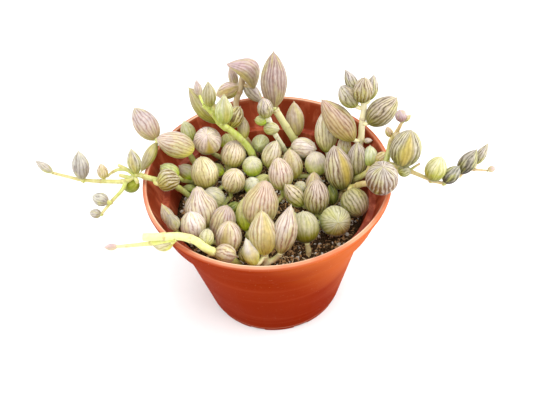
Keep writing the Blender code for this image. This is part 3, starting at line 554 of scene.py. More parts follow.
CENTRE_GROUP = Strand(
    stems=[
        Stem(1.1, 0.8, [at(-1, -6, 44), at(-1, -6, 46.2), at(-4, -12, 46.6), at(-6.5, -15.2, 47.4)]),
        Stem(0.9, 0.8, [at(-1, -6, 46.3), at(3, -1, 46.5), at(5.5, 1.5, 47)]),
    ],
    leaves=[
        Leaf("large", "old_cream", 12.8, seen(256, 226, 50), seen(266, 181, 65), neck=0.15),
        Leaf("pointed", "lilac", 9.3, seen(283, 190, 50.5), seen(278, 158, 62.5)),
        Leaf("green", "vivid", 7.0, seen(246, 231, 47.5), seen(244, 198, 57.5)),
        Leaf("low_a", "vivid", 5.2, at(-6.8, -16.5, 46.9), at(-7.2, -21.5, 51)),
        Leaf("low_b", "vivid", 5.2, at(-2.2, -5, 46.9), at(-6.2, -2.6, 51)),
    ],
)

LEFT_GROUP = Strand(
    stems=[
        Stem(1.1, 0.9, [
            at(-16, 11, 44), at(-16, 11, 46.4), at(-15.5, 17, 46.6), at(-16.5, 24, 47.4),
            at(-21, 25, 51),
        ]),
        Stem(0.9, 0.8, [at(-16, 11, 46.4), at(-20.5, 7.5, 46.8)]),
        Stem(0.9, 0.8, [at(-16, 11, 46.4), at(-14.6, 4.8, 46.6), at(-17, 0.5, 46.5), at(-16, -5, 46.3)]),
        Stem(0.9, 0.8, [at(-15.6, 10, 46.4), at(-10, 9, 46.4), at(-6.2, 7.4, 46.2)]),
    ],
    leaves=[
        Leaf("egg", "straw", 10.7, seen(208, 188, 50), seen(201, 157, 61), window=-20, clear=0.3),
        Leaf("facing", "frost_lilac", 10.8, seen(208, 147, 56), seen(207, 134.5, 68), window=180, clear=1.0),
        Leaf("upper", "straw", 10.0, seen(231, 167, 50), seen(236, 141, 60), neck=0.0),
        Leaf("lower", "ball_cream", 8.9, seen(231, 190, 50), seen(236, 171, 60), neck=0.0),
        Leaf("shiny_a", "glossy", 7.8, seen(253, 172, 49), seen(252, 160, 57.5), neck=0.0),
        Leaf("shiny_b", "glossy", 6.6, seen(253, 190, 47.5), seen(252, 181, 55), neck=0.0),
        Leaf("behind", "vivid", 6.5, seen(230, 150, 50), seen(226, 134, 56)),
        Leaf("white", "silver", 7.9, seen(222, 204, 48), seen(206, 191, 55), neck=0.0),
        Leaf("low_a", "vivid", 5.4, at(-17.5, 17.2, 46.9), at(-22, 17.5, 51)),
        Leaf("low_b", "vivid", 4.8, at(-13, 9.8, 46.9), at(-10, 12.2, 51)),
        Leaf("low_c", "vivid", 5.4, at(-4.5, 8, 46.9), at(0.5, 9.3, 51.2)),
        Leaf("low_d", "deep_green", 5.2, at(-15.5, -5, 46.9), at(-11.3, -4.5, 51)),
        Leaf("low_e", "vivid", 5.4, at(-16.5, -5.5, 46.9), at(-19.8, -8.8, 51)),
    ],
)

LEFT_WALL_GROUP = Strand(
    stems=[Stem(1.0, 0.8, [at(-29.4, 12, 44), at(-29.8, 12, 48), at(-32.5, 8.6, 53)])],
    leaves=[
        Leaf("dark_a", "green", 6.4, seen(178, 177, 57), seen(161, 166, 62.5)),
        Leaf("dark_b", "glossy", 6.2, seen(195, 178, 50.4), seen(179.5, 166, 54.2)),
    ],
)

FRONT_LEFT_GROUP = Strand(
    stems=[
        Stem(1.1, 0.8, [at(-24, -19, 44), at(-24, -18.5, 46.4), at(-20, -19, 46.8), at(-16.5, -24, 47.5)]),
        Stem(0.9, 0.7, [at(-24, -18.5, 46.4), at(-28, -19.5, 49), at(-33.2, -19.5, 55)]),
    ],
    leaves=[
        Leaf("onion", "lilac", 11.8, seen(205, 228, 50), seen(197, 187, 64), neck=0.3),
        Leaf("curved", "pale_lilac", 8.9, seen(196, 238, 52), seen(190, 212, 60.5)),
        Leaf("striped", "mauve", 9.3, seen(219, 238, 48.5), seen(227, 206, 60), neck=0.0),
        Leaf("front", "lilac", 9.1, seen(229, 251, 51), seen(229, 222, 62), window=-20, clear=0.7, neck=0.0),
        Leaf("wall_a", "wall_grey", 4.4, seen(173, 227, 56), seen(162, 204.5, 65)),
        Leaf("wall_b", "wall_grey", 4.8, seen(176, 229, 56), seen(169.5, 215, 62.5)),
        Leaf("green", "green", 3.5, seen(209, 238, 47.5), seen(209, 222, 53)),
    ],
)

STRANDS = {
    "strand_left_trailer": LEFT_TRAILER,
    "strand_front_left_trailer": FRONT_LEFT_TRAILER,
    "strand_upper_left": UPPER_LEFT_SPRAY,
    "strand_back_left": BACK_LEFT_SPRAY,
    "strand_back_hook": BACK_HOOK,
    "strand_tall": TALL_STEM,
    "strand_bud": BUD_STEM,
    "strand_back": BACK_GROUP,
    "strand_back_right": BACK_RIGHT_SPRAY,
    "strand_right_trailer": RIGHT_TRAILER,
    "strand_front_right": FRONT_RIGHT_GROUP,
    "strand_front_single": FRONT_STEM,
    "strand_front": FRONT_GROUP,
    "strand_centre": CENTRE_GROUP,
    "strand_left": LEFT_GROUP,
    "strand_left_wall": LEFT_WALL_GROUP,
    "strand_front_left": FRONT_LEFT_GROUP,
}

# The green of each strand's stems, at the root and at the far end. Stems that lie in the leaves' shade are
# given colours near white, as painted light.
STEM_GREENS = {
    "strand_left_trailer": Greens(tone(196, 210, 90), tone(224, 206, 130)),
    "strand_front_left_trailer": Greens(tone(226, 232, 96), tone(248, 246, 168)),
    "strand_back_left": Greens(tone(204, 226, 90), tone(216, 226, 96)),
    "strand_tall": Greens(tone(214, 238, 114), tone(252, 242, 182)),
    "strand_bud": Greens((0.95, 0.95, 0.55), (0.95, 0.95, 0.8)),
    "strand_back_hook": Greens(tone(232, 204, 146), tone(200, 168, 130)),
    "strand_front_single": Greens((0.95, 0.85, 0.45), (0.9, 0.9, 0.4)),
    "strand_back_right": Greens((0.95, 0.86, 0.46), (0.95, 0.88, 0.6)),
    "strand_right_trailer": Greens(tone(176, 190, 78), tone(224, 180, 126)),
    "strand_front": Greens((0.95, 0.95, 0.5), (0.95, 0.95, 0.5)),
}
USUAL_GREENS = Greens(tone(200, 216, 96), tone(228, 228, 134))


# Sizes and colours that a user would change


def length_of(name, words, metres):
    return FloatProperty(name=name, description=words, default=metres, min=0, precision=5, unit="LENGTH")


def share_of(name, words, share):
    return FloatProperty(name=name, description=words, default=share, min=0, max=1, subtype="FACTOR")


def count_of(name, words, number, least=0, most=10000000):
    return IntProperty(name=name, description=words, default=number, min=least, max=most)


def power_of(name, words, watts):
    return FloatProperty(name=name, description=words, default=watts, min=0, unit="POWER")


def colour_of(name, words, colour):
    return FloatVectorProperty(
        name=name, description=words, default=colour, min=0, max=1, size=3, subtype="COLOR"
    )


class WATERMELONS_PotSettings(bpy.types.PropertyGroup):
    """The nursery pot's finish"""

    sides: count_of("Sides", "How many flats make the pot round", 144, 24, 512)
    body_colour: colour_of("Body", "Plastic of the pot's body", tone(158, 51, 2))
    # Deep: the darker, redder plastic of the clouds, also laid on low down as painted shade
    cloud_and_shade_colour: colour_of("Deep", "Plastic where it looks redder, low down and in clouds", tone(140, 39, 0))
    # Lip: paler plastic for the lip and the moulding flow marks; it also paints the highlight on the lip and
    # the reflections on the inner wall
    pale_and_highlight_colour: colour_of("Lip", "Paler plastic along the lip", tone(228, 122, 86))
    # Rubbed: a painted sheen, the reflection on the body's right side laid on as paler colour
    painted_sheen_colour: colour_of("Rubbed", "Plastic of the body where it is rubbed paler", tone(236, 122, 60))
    # Scuffs: dust and a pale line near the foot, and also the painted highlight along the lip's inner edge
    scuff_and_highlight_colour: colour_of("Scuffs", "Dust and scuffs on the plastic", tone(255, 214, 176))
    ring_depth: length_of("Ring Depth", "Depth of the faint rings left by moulding", 0.00006)


class WATERMELONS_SoilSettings(bpy.types.PropertyGroup):
    """The potting mix"""

    bark_count: count_of("Bark Crumbs", "Crumbs of bark for each square metre", 1100000)
    bark_smallest: length_of("Smallest Crumb", "Smallest crumb of bark", 0.0007)
    bark_largest: length_of("Largest Crumb", "Largest crumb of bark", 0.0021)
    fibre_count: count_of("Fibres", "Straw-coloured fibres for each square metre", 300000)
    fibre_smallest: length_of("Shortest Fibre", "Shortest fibre", 0.0012)
    fibre_largest: length_of("Longest Fibre", "Longest fibre", 0.0038)
    perlite_count: count_of("Perlite Grains", "Grains of perlite for each square metre", 130000)
    perlite_smallest: length_of("Smallest Grain", "Smallest grain of perlite", 0.0008)
    perlite_largest: length_of("Largest Grain", "Largest grain of perlite", 0.0021)
    peat_colour: colour_of("Peat", "Fine dark peat between the crumbs", tone(44, 28, 16))
    bark_colour: colour_of("Bark", "Dry bark", (0.66, 0.39, 0.18))
    fibre_colour: colour_of("Fibre", "Straw-coloured fibres", tone(255, 234, 190))
    perlite_colour: colour_of("Perlite", "White grains", (0.98, 0.93, 0.82))


class WATERMELONS_LeafSettings(bpy.types.PropertyGroup):
    """The striped leaves"""

    sides: count_of("Sides", "Flats round a leaf", 36, 8, 96)
    rows: count_of("Rows", "Rows from a leaf's foot to its tip", 24, 6, 96)
    stripe_spacing: length_of("Stripe Spacing", "From one stripe to the next at the leaf's middle", 0.0015)
    stripe_wander: FloatProperty(
        name="Stripe Wander", description="How far a stripe strays, in stripes", default=0.65, min=0, max=4
    )
    window_width: share_of("Window Width", "Half width of the clear strip as part of the way round", 0.075)
    window_colour: colour_of("Window", "The clear strip", tone(208, 184, 84))
    tinge_colour: colour_of("Tinge", "Fresh green patches on the skin", tone(212, 210, 96))
    tinge_strength: share_of("Tinge Strength", "How much of the skin's own colour the patches hide", 0.4)
    wax_colour: colour_of("Wax", "Pale wax between the stripes", tone(242, 230, 220))
    spread: share_of("Spread", "How much the colour differs from leaf to leaf", 0.06)


class WATERMELONS_StemSettings(bpy.types.PropertyGroup):
    """The stems and stalks"""

    sides: count_of("Sides", "Flats round a stem", 14, 6, 64)
    joint_spacing: length_of("Joint Spacing", "From one joint of a stem to the next", 0.0085)
    swelling: share_of("Swelling", "How much thicker a stem is at its joints", 0.16)
    scar_colour: colour_of("Scars", "Dry scars at the joints", tone(176, 122, 84))


class WATERMELONS_StageSettings(bpy.types.PropertyGroup):
    """The floor and the studio light"""

    floor_colour: colour_of("Floor", "The pale floor", (0.9, 0.9, 0.9))
    sky_strength: FloatProperty(name="Sky", description="Soft light from all round", default=0.89, min=0)
    key_power: power_of("Key", "Large soft light above", 1.8)
    left_power: power_of("Left", "Soft light at the left", 1.3)
    right_power: power_of("Right", "Soft light at the right", 3.1)
    front_power: power_of("Front", "Soft light over the camera", 1.4)


# Node trees


class Graph:
    """Adds nodes to a tree and wires them; a value given for a socket is a number or another socket."""

    def __init__(self, tree):
        self.tree = tree

    def node(self, kind, inputs=None, **settings):
        made = self.tree.nodes.new(kind)
        for name, value in settings.items():
            setattr(made, name, value)
        for key, value in (inputs or {}).items():
            self.give(made.inputs[key], value)
        return made

    def give(self, socket, value):
        """Wires a socket to this one, or sets it to a plain value."""
        if isinstance(value, bpy.types.NodeSocket):
            self.tree.links.new(value, socket)
        else:
            socket.default_value = value

    def math(self, operation, *values):
        return self.node("ShaderNodeMath", dict(enumerate(values)), operation=operation).outputs[0]

    def product(self, *values):
        """All the values multiplied, from the first to the last."""
        total = values[0]
        for value in values[1:]:
            total = self.math("MULTIPLY", total, value)
        return total

    def vector(self, operation, inputs, output="Vector"):
        return self.node("ShaderNodeVectorMath", inputs, operation=operation).outputs[output]

    def fitted(self, value, low, high, new_low=0.0, new_high=1.0):
        """The value moved smoothly from one range to another and kept inside it."""
        made = self.node(
            "ShaderNodeMapRange",
            {"Value": value, "From Min": low, "From Max": high, "To Min": new_low, "To Max": new_high},
            interpolation_type="SMOOTHSTEP",
        )
        return made.outputs["Result"]

    def mixed(self, share, first, second, blend="MIX"):
        made = self.node("ShaderNodeMix", data_type="RGBA", blend_type=blend, clamp_factor=True)
        sockets = {socket.identifier: socket for socket in made.inputs}
        self.give(sockets["Factor_Float"], share)
        for name, colour in (("A_Color", first), ("B_Color", second)):
            given = isinstance(colour, bpy.types.NodeSocket)
            self.give(sockets[name], colour if given else (*colour, 1.0))
        return next(socket for socket in made.outputs if socket.identifier == "Result_Color")

    def noise(self, place, scale, detail=2.0, roughness=0.5):
        made = self.node(
            "ShaderNodeTexNoise",
            {"Vector": place, "Scale": scale, "Detail": detail, "Roughness": roughness},
        )
        return made.outputs["Fac"]

    def stretched(self, place, scale):
        """The place scaled along each axis, so that a pattern on it is finer where the scale is large."""
        return self.node("ShaderNodeMapping", {"Vector": place, "Scale": scale}).outputs["Vector"]

    def grey(self, value):
        """The colour that has this value in each of its channels."""
        return self.node("ShaderNodeCombineColor", {i: value for i in range(3)}).outputs[0]

    def kept(self, name):
        """What the mesh keeps under this name."""
        return self.node("ShaderNodeAttribute", attribute_name=name)

    def carve(self, shader, height, distance, strength):
        """Gives the surface a fine relief that follows this height."""
        bump = self.node("ShaderNodeBump", {"Height": height, "Distance": distance, "Strength": strength})
        self.give(shader.inputs["Normal"], bump.outputs["Normal"])


def new_surface(name, **uniform):
    """A material with its graph, its shader and the object's own coordinates."""
    material = bpy.data.materials.new(name)
    material.use_nodes = True
    graph = Graph(material.node_tree)
    shader = material.node_tree.nodes["Principled BSDF"]
    for socket, value in uniform.items():
        shader.inputs[socket.replace("_", " ")].default_value = value
    place = graph.node("ShaderNodeTexCoord").outputs["Object"]
    return material, graph, shader, place


# The materials. A grain is a noise's scale, alone or with its detail and roughness. A fade is where a
# pattern starts and ends, with its values at those two where they aren't 0 and 1. A relief is a depth
# and its strength, and a share is how much of a colour a pattern lays on.

# The leaf skin. Its patterns lie on a ring of radius 1, with the way along the leaf as the height.
SKIN_RADIUS = (1.0, 0.95, 0.4)
LEAF_APART = 40.0
PATTERN_LENGTH = 1.3
WAVER_GRAIN = (1.6, 3.0, 0.55)
WAVER_REACH = 4
SHIVER_GRAIN = (9.0, 2.0)
SHIVER_REACH = 0.3
STRIPE_FADE = (0.3, 0.97)
GAP_FADE = (-0.3, -1.0)
BROKEN_GRAIN = (5.0, 3.0)
BROKEN_FADE = (0.32, 0.6, 0.5, 1.0)
WINDOW_OUTLINE = 0.75
WINDOW_FADE = (-0.03, 0.06)
WINDOW_CLEARNESS = 0.9
BORDER_FADE = (0.02, 0.0)
BORDER_SHARE = 0.5
MOTTLE_GRAIN = (600.0, 4.0, 0.6)
MOTTLE_FADE = (0.3, 0.7, 0.86, 1.1)
WAX_FADE = (0.05, 0.55, 0.2, 1.0)
WAX_SHARE = 0.55
TINGE_GRAIN = (1.3, 2.0)
TINGE_FADE = (0.46, 0.66)
SKIN_GRAIN = 700.0
SKIN_GLOSS_FADE = (0.3, 0.7, 0.34, 0.5)
PORE_GRAIN = 1800.0
PORE_DEPTH = 0.25
STRIPE_DEPTH = 0.6
SKIN_RELIEF = (0.00012, 0.5)


def leaf_skin(settings):
    """Waxy skin with wandering stripes from foot to tip and a clear window strip."""
    material, graph, shader, place = new_surface(
        "leaf_skin",
        Subsurface_Weight=0.35,
        Subsurface_Radius=SKIN_RADIUS,
        Subsurface_Scale=0.0018,
        IOR=1.33,
        Sheen_Weight=0.3,
        Sheen_Roughness=0.22,
    )
    leaf_uv = graph.node("ShaderNodeUVMap", uv_map="leaf_uv").outputs[0]
    way = graph.node("ShaderNodeSeparateXYZ", {0: leaf_uv})
    around = way.outputs["X"]
    along = way.outputs["Y"]
    skin = graph.kept("skin_tint").outputs["Color"]
    stripe_tint = graph.kept("stripe_tint")
    count = graph.kept("stripe_count").outputs["Fac"]
    window_share = graph.kept("window_share").outputs["Fac"]
    chance = graph.kept("leaf_chance").outputs["Fac"]

    turn = graph.product(around, math.tau)
    ringed = graph.node("ShaderNodeCombineXYZ", {
        "X": graph.math("COSINE", turn),
        "Y": graph.math("SINE", turn),
        "Z": graph.math("MULTIPLY_ADD", chance, LEAF_APART, graph.product(along, PATTERN_LENGTH)),
    }).outputs[0]
    waver = graph.math("SUBTRACT", graph.noise(ringed, *WAVER_GRAIN), 0.5)
    shiver = graph.math("SUBTRACT", graph.noise(ringed, *SHIVER_GRAIN), 0.5)
    stray = graph.product(waver, settings.stripe_wander * WAVER_REACH)
    stray = graph.math("MULTIPLY_ADD", shiver, settings.stripe_wander * SHIVER_REACH, stray)
    phase = graph.math("MULTIPLY_ADD", around, count, stray)
    wave = graph.math("COSINE", graph.product(phase, math.tau))
    band = graph.fitted(wave, *STRIPE_FADE)
    gap = graph.fitted(wave, *GAP_FADE)
    broken = graph.fitted(graph.noise(ringed, *BROKEN_GRAIN), *BROKEN_FADE)

    from_middle = graph.math("ABSOLUTE", graph.math("SUBTRACT", around, 0.5))
    lens = graph.math("POWER", graph.math("SINE", graph.product(along, math.pi)), WINDOW_OUTLINE)
    inside = graph.math("SUBTRACT", graph.product(lens, settings.window_width), from_middle)
    window = graph.product(graph.fitted(inside, *WINDOW_FADE), window_share)
    border = graph.product(graph.fitted(graph.math("ABSOLUTE", inside), *BORDER_FADE), window_share)

    line = graph.product(band, broken, stripe_tint.outputs["Alpha"])
    line = graph.math("MAXIMUM", line, graph.product(border, BORDER_SHARE))
    line = graph.product(line, graph.math("MULTIPLY_ADD", window, -WINDOW_CLEARNESS, 1.0))
    waxy = graph.product(graph.fitted(along, *WAX_FADE), stripe_tint.outputs["Alpha"])
    pale = graph.mixed(graph.product(gap, waxy, WAX_SHARE), skin, settings.wax_colour[:])
    tinge = graph.fitted(graph.noise(ringed, *TINGE_GRAIN), *TINGE_FADE, 0.0, settings.tinge_strength)
    pale = graph.mixed(tinge, pale, settings.tinge_colour[:])
    ground = graph.mixed(window, pale, settings.window_colour[:])
    colour = graph.mixed(line, ground, stripe_tint.outputs["Color"])
    mottled = graph.fitted(graph.noise(place, *MOTTLE_GRAIN), *MOTTLE_FADE)
    graph.give(shader.inputs["Base Color"], graph.mixed(1.0, colour, graph.grey(mottled), "MULTIPLY"))
    graph.give(shader.inputs["Roughness"], graph.fitted(graph.noise(place, SKIN_GRAIN), *SKIN_GLOSS_FADE))
    pores = graph.product(graph.noise(place, PORE_GRAIN), PORE_DEPTH)
    graph.carve(shader, graph.math("MULTIPLY_ADD", line, -STRIPE_DEPTH, pores), *SKIN_RELIEF)
    return material


# The stem skin
STREAK_STRETCH = (1.0, 1.0, 0.35)
STREAK_GRAIN = (900.0, 3.0)
STREAK_FADE = (0.3, 0.7)
STREAK_SHARE = 0.3
STREAK_COLOUR = (0.82, 0.8, 0.5)
SCAR_GRAIN = (1100.0, 3.0)
SCAR_FADE = (0.4, 0.62)
SCAR_SHARE = 0.6
STEM_RELIEF = (0.00012, 0.4)


def stem_skin(settings):
    """Pale green stem with faint upright streaks and dry scars at its joints."""
    material, graph, shader, place = new_surface(
        "stem_skin",
        Roughness=0.45,
        Subsurface_Weight=0.2,
        Subsurface_Radius=SKIN_RADIUS,
        Subsurface_Scale=0.001,
    )
    green = graph.kept("stem_tint").outputs["Color"]
    scar = graph.kept("scar").outputs["Fac"]
    streaks = graph.fitted(graph.noise(graph.stretched(place, STREAK_STRETCH), *STREAK_GRAIN), *STREAK_FADE)
    colour = graph.mixed(graph.product(streaks, STREAK_SHARE), green, STREAK_COLOUR)
    dry = graph.fitted(graph.noise(place, *SCAR_GRAIN), *SCAR_FADE)
    colour = graph.mixed(graph.product(scar, dry, SCAR_SHARE), colour, settings.scar_colour[:])
    graph.give(shader.inputs["Base Color"], colour)
    graph.carve(shader, graph.math("ADD", streaks, scar), *STEM_RELIEF)
    return material


# The pot's plastic. A gloss is an index of refraction, and near 1 the plastic hardly shines. The paler patch
# on the body's right side is a painted sheen that stands in for a reflection; it fades in along the slope
# given below, where the fade given below starts and ends in metres. The darkening low down is painted shade,
# the streaks on the inner wall are painted reflections, and the pale lip and its inner edge are partly
# painted highlights.
OUTSIDE_GLOSS = 1.03
INSIDE_GLOSS = 1.4
# Darkening low down: painted shade
LOW_SHADE_FADE = (POT_HEIGHT * 0.85, POT_HEIGHT * 0.2)
LOW_SHADE_SHARE = 0.6
CLOUD_STRETCH = (18.0, 18.0, 40.0)
CLOUD_FADE = (0.3, 0.7)
CLOUD_SHARE = 0.35
CLOUD_GLOSS_FADE = (0.3, 0.7, 0.36, 0.52)
FLOW_STRETCH = (14.0, 14.0, 420.0)
FLOW_FADE = (0.5, 0.75)
FLOW_SHARE = 0.09
POT_GRAIN = (1.0, 3.0)
# Streaks on the inner wall: painted reflections, with a faint painted lift over all of the inner wall
REFLECTION_STRETCH = (260.0, 260.0, 14.0)
REFLECTION_GRAIN = (1.0, 3.0, 0.6)
REFLECTION_FADE = (0.44, 0.68, 0.12, 0.75)
# The paler patch on the body's right side: a painted sheen
PAINTED_SHEEN_SLOPE = (1.2, 0.15, 0.7)
PAINTED_SHEEN_STRETCH = (12.0, 12.0, 55.0)
PAINTED_SHEEN_GRAIN = (1.0, 2.0)
PAINTED_SHEEN_RAGGED = 0.045
PAINTED_SHEEN_FADE = (0.047, 0.088, 0.0, 0.65)
# The pale lip: paler plastic, and partly a painted highlight
LIP_HIGHLIGHT_FADE = (POT_HEIGHT - LIP_HEIGHT * 0.9, POT_HEIGHT - LIP_ROUND)
LIP_HIGHLIGHT_SHARE = 0.55
# The pale mark along the lip's inner top edge: a painted highlight, partly wear, broken up in patches
EDGE_FADE = (POT_HEIGHT - LIP_ROUND * 0.9, POT_HEIGHT - LIP_ROUND * 0.2)
INNER_LIP_FADE = (RIM_RADIUS - LIP_THICKNESS * 0.5, RIM_RADIUS - LIP_THICKNESS * 0.85, 0.4, 1.0)
RIM_PATCH_GRAIN = (34.0, 4.0)
RIM_PATCH_FADE = (0.4, 0.6, 0.2, 1.0)
DUST_GRAIN = (2600.0, 1.0)
DUST_FADE = (0.74, 0.8)
FOOT_LINE = 2.6 * MM
FOOT_LINE_FADE = (0.0004, 0.0001)
FOOT_LINE_SHARE = 0.6
MARK_SHARE = 0.5
MOULD_GRAIN = (1500.0, 3.0)
MOULD_DEPTH = 0.35
RING_STRENGTH = 0.6


def pot_plastic(name, settings, gloss):
    """Orange-brown plastic, redder in clouds, with rings, dust, a pale lip, and painted shade low down, a
    painted sheen, painted reflections inside and a painted lip highlight.
    """
    material, graph, shader, place = new_surface(name, IOR=gloss)
    up = graph.node("ShaderNodeSeparateXYZ", {0: place}).outputs["Z"]
    inside = graph.kept("inside").outputs["Fac"]
    outside = graph.math("SUBTRACT", 1.0, inside)
    cloud = graph.noise(graph.stretched(place, CLOUD_STRETCH), *POT_GRAIN)
    flow = graph.noise(graph.stretched(place, FLOW_STRETCH), *POT_GRAIN)

    # Darker low down: painted shade; the clouds are the plastic's own uneven tone
    low = graph.product(graph.fitted(up, *LOW_SHADE_FADE), LOW_SHADE_SHARE)
    cloud_and_low_shade = graph.math("MULTIPLY_ADD", graph.fitted(cloud, *CLOUD_FADE), CLOUD_SHARE, low)
    colour = graph.mixed(cloud_and_low_shade, settings.body_colour[:], settings.cloud_and_shade_colour[:])
    flowing = graph.product(graph.fitted(flow, *FLOW_FADE), FLOW_SHARE)
    colour = graph.mixed(flowing, colour, settings.pale_and_highlight_colour[:])

    # A paler patch on the right side of the body, toward the top: painted sheen
    slant = graph.vector("DOT_PRODUCT", {0: place, 1: PAINTED_SHEEN_SLOPE}, "Value")
    swept = graph.noise(graph.stretched(place, PAINTED_SHEEN_STRETCH), *PAINTED_SHEEN_GRAIN)
    highlit = graph.fitted(graph.math("MULTIPLY_ADD", swept, PAINTED_SHEEN_RAGGED, slant), *PAINTED_SHEEN_FADE)
    colour = graph.mixed(graph.product(highlit, outside), colour, settings.painted_sheen_colour[:])
    # Paler streaks on the inner wall: painted reflections
    reflection_streaks = graph.noise(graph.stretched(place, REFLECTION_STRETCH), *REFLECTION_GRAIN)
    painted_reflections = graph.product(graph.fitted(reflection_streaks, *REFLECTION_FADE), inside)
    colour = graph.mixed(painted_reflections, colour, settings.pale_and_highlight_colour[:])
    # The pale lip: paler plastic, and partly a painted highlight
    lip = graph.product(graph.fitted(up, *LIP_HIGHLIGHT_FADE), LIP_HIGHLIGHT_SHARE)
    colour = graph.mixed(lip, colour, settings.pale_and_highlight_colour[:])

    from_axis = graph.vector("LENGTH", {0: graph.stretched(place, (1.0, 1.0, 0.0))}, "Value")
    # The pale mark on the lip's inner top edge: a painted highlight, partly wear
    rim_patches = graph.fitted(graph.noise(place, *RIM_PATCH_GRAIN), *RIM_PATCH_FADE)
    rim_highlight_and_wear = graph.product(
        graph.fitted(up, *EDGE_FADE), rim_patches, graph.fitted(from_axis, *INNER_LIP_FADE)
    )
    dust = graph.fitted(graph.noise(place, *DUST_GRAIN), *DUST_FADE)
    from_foot_line = graph.math("ABSOLUTE", graph.math("SUBTRACT", up, FOOT_LINE))
    foot_line = graph.product(graph.fitted(from_foot_line, *FOOT_LINE_FADE), outside, FOOT_LINE_SHARE)
    marks = graph.product(graph.math("MAXIMUM", dust, foot_line), MARK_SHARE)
    colour = graph.mixed(graph.math("MAXIMUM", rim_highlight_and_wear, marks), colour, settings.scuff_and_highlight_colour[:])
    graph.give(shader.inputs["Base Color"], colour)
    graph.give(shader.inputs["Roughness"], graph.fitted(cloud, *CLOUD_GLOSS_FADE))
    grain = graph.product(graph.noise(place, *MOULD_GRAIN), MOULD_DEPTH)
    graph.carve(shader, graph.math("ADD", flow, grain), settings.ring_depth, RING_STRENGTH)
    return material


# The potting mix
PEAT_FINE = (1300.0, 5.0, 0.7)
PEAT_FINE_FADE = (0.35, 0.7)
PEAT_BROAD = (160.0, 3.0)
PEAT_BROAD_FADE = (0.35, 0.65)
DARK_PEAT = 0.35
BARK_DUST = 0.35
PEAT_RELIEF = (0.0004, 0.9)


def peat(settings):
    material, graph, shader, place = new_surface("peat", Roughness=0.95, IOR=1.15)
    fine = graph.fitted(graph.noise(place, *PEAT_FINE), *PEAT_FINE_FADE)
    broad = graph.fitted(graph.noise(place, *PEAT_BROAD), *PEAT_BROAD_FADE)
    dark = [value * DARK_PEAT for value in settings.peat_colour]
    colour = graph.mixed(broad, dark, settings.peat_colour[:])
    colour = graph.mixed(graph.product(fine, BARK_DUST), colour, settings.bark_colour[:])
    graph.give(shader.inputs["Base Color"], colour)
    graph.carve(shader, fine, *PEAT_RELIEF)
    return material


# The crumbs. The dark shades are shares of the light ones.
DARK_BARK = 0.05
DARK_PERLITE = 0.75
SPOT_GRAIN = (2200.0, 4.0)
SPOT_FADE = (0.3, 0.7)
SPOT_SHARE = 0.15
SHADE_FADE = (0.5, 0.8)
CRUMB_RELIEF = (0.0002, 0.7)


def crumb_surface(name, dark, light, roughness):
    """Grains that each take a shade between two colours."""
    material, graph, shader, place = new_surface(name, Roughness=roughness, IOR=1.2)
    spots = graph.fitted(graph.noise(place, *SPOT_GRAIN), *SPOT_FADE)
    bright = graph.fitted(graph.kept("shade").outputs["Fac"], *SHADE_FADE)
    share = graph.math("MULTIPLY_ADD", spots, SPOT_SHARE, graph.product(bright, 1 - SPOT_SHARE))
    graph.give(shader.inputs["Base Color"], graph.mixed(share, dark, light))
    graph.carve(shader, spots, *CRUMB_RELIEF)
    return material


# The floor
PAPER_GRAIN = 300.0
PAPER_FADE = (0.0, 1.0, 0.985, 1.0)


def floor_paper(settings):
    material, graph, shader, place = new_surface("floor_paper", Roughness=0.9)
    grain = graph.fitted(graph.noise(place, PAPER_GRAIN), *PAPER_FADE)
    colour = graph.mixed(1.0, settings.floor_colour[:], graph.grey(grain), "MULTIPLY")
    graph.give(shader.inputs["Base Color"], colour)
    return material


# Meshes


def placed(name, data):
    """A new object with this data, in the scene, at the origin."""
    made = bpy.data.objects.new(name, data)
    bpy.context.scene.collection.objects.link(made)
    return made


def dressed(piece, *materials, smooth=True):
    """The piece in these materials, shaded smooth or flat."""
    mesh = piece.data
    mesh.materials.clear()
    for material in materials:
        mesh.materials.append(material)
    mesh.polygons.foreach_set("use_smooth", [smooth] * len(mesh.polygons))
    return piece


def belongs(piece, slot, *nodes):
    """The piece rides with the pot and stands for these nodes of the part."""
    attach(piece, "root")
    if nodes:
        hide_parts(*nodes)


def mesh_of(shape, name):
    """The shape as a mesh of this name; the shape is then freed."""
    mesh = bpy.data.meshes.new(name)
    shape.to_mesh(mesh)
    shape.free()
    return mesh


def turned(name, profile, sides):
    """A closed mesh of revolution from (radius, height) points that start and end on the axis."""
    shape = bmesh.new()
    turns = [math.tau * i / sides for i in range(sides)]
    rings = []
    for radius, height in profile:
        if radius < POINT_RADIUS:
            rings.append([shape.verts.new((0, 0, height))])
            continue
        rings.append([
            shape.verts.new((radius * math.cos(turn), radius * math.sin(turn), height)) for turn in turns
        ])
    for inner, outer in zip(rings, rings[1:]):
        for near in range(sides):
            far = near + 1
            corners = [
                inner[near % len(inner)],
                outer[near % len(outer)],
                outer[far % len(outer)],
                inner[far % len(inner)],
            ]
            shape.faces.new(list(dict.fromkeys(corners)))
    bmesh.ops.recalc_face_normals(shape, faces=shape.faces)
    return mesh_of(shape, name)


def wall_radius(height):
    """The inner radius of the pot's body at this height."""
    share = (height - FLOOR) / (COLLAR_FOOT_HEIGHT - FLOOR)
    return BASE_RADIUS + (BODY_TOP_RADIUS - BASE_RADIUS) * share - WALL


def rounded(profile, turns):
    """The profile with some corners cut to an arc: turns maps a corner's index to where its arc starts."""
    points = []
    for i, corner in enumerate(profile):
        if i not in turns:
            points.append(corner)
            continue
        here = Vector(corner)
        before = Vector(profile[i - 1]) - here
        after = Vector(profile[i + 1]) - here
        reach = min(turns[i], before.length / CORNER_ROOM, after.length / CORNER_ROOM)
        start = here + before.normalized() * reach
        end = here + after.normalized() * reach
        for j in range(ARC_STEPS + 1):
            share = j / ARC_STEPS
            points.append(tuple(start * (1 - share) ** 2 + here * 2 * share * (1 - share) + end * share**2))
    return points


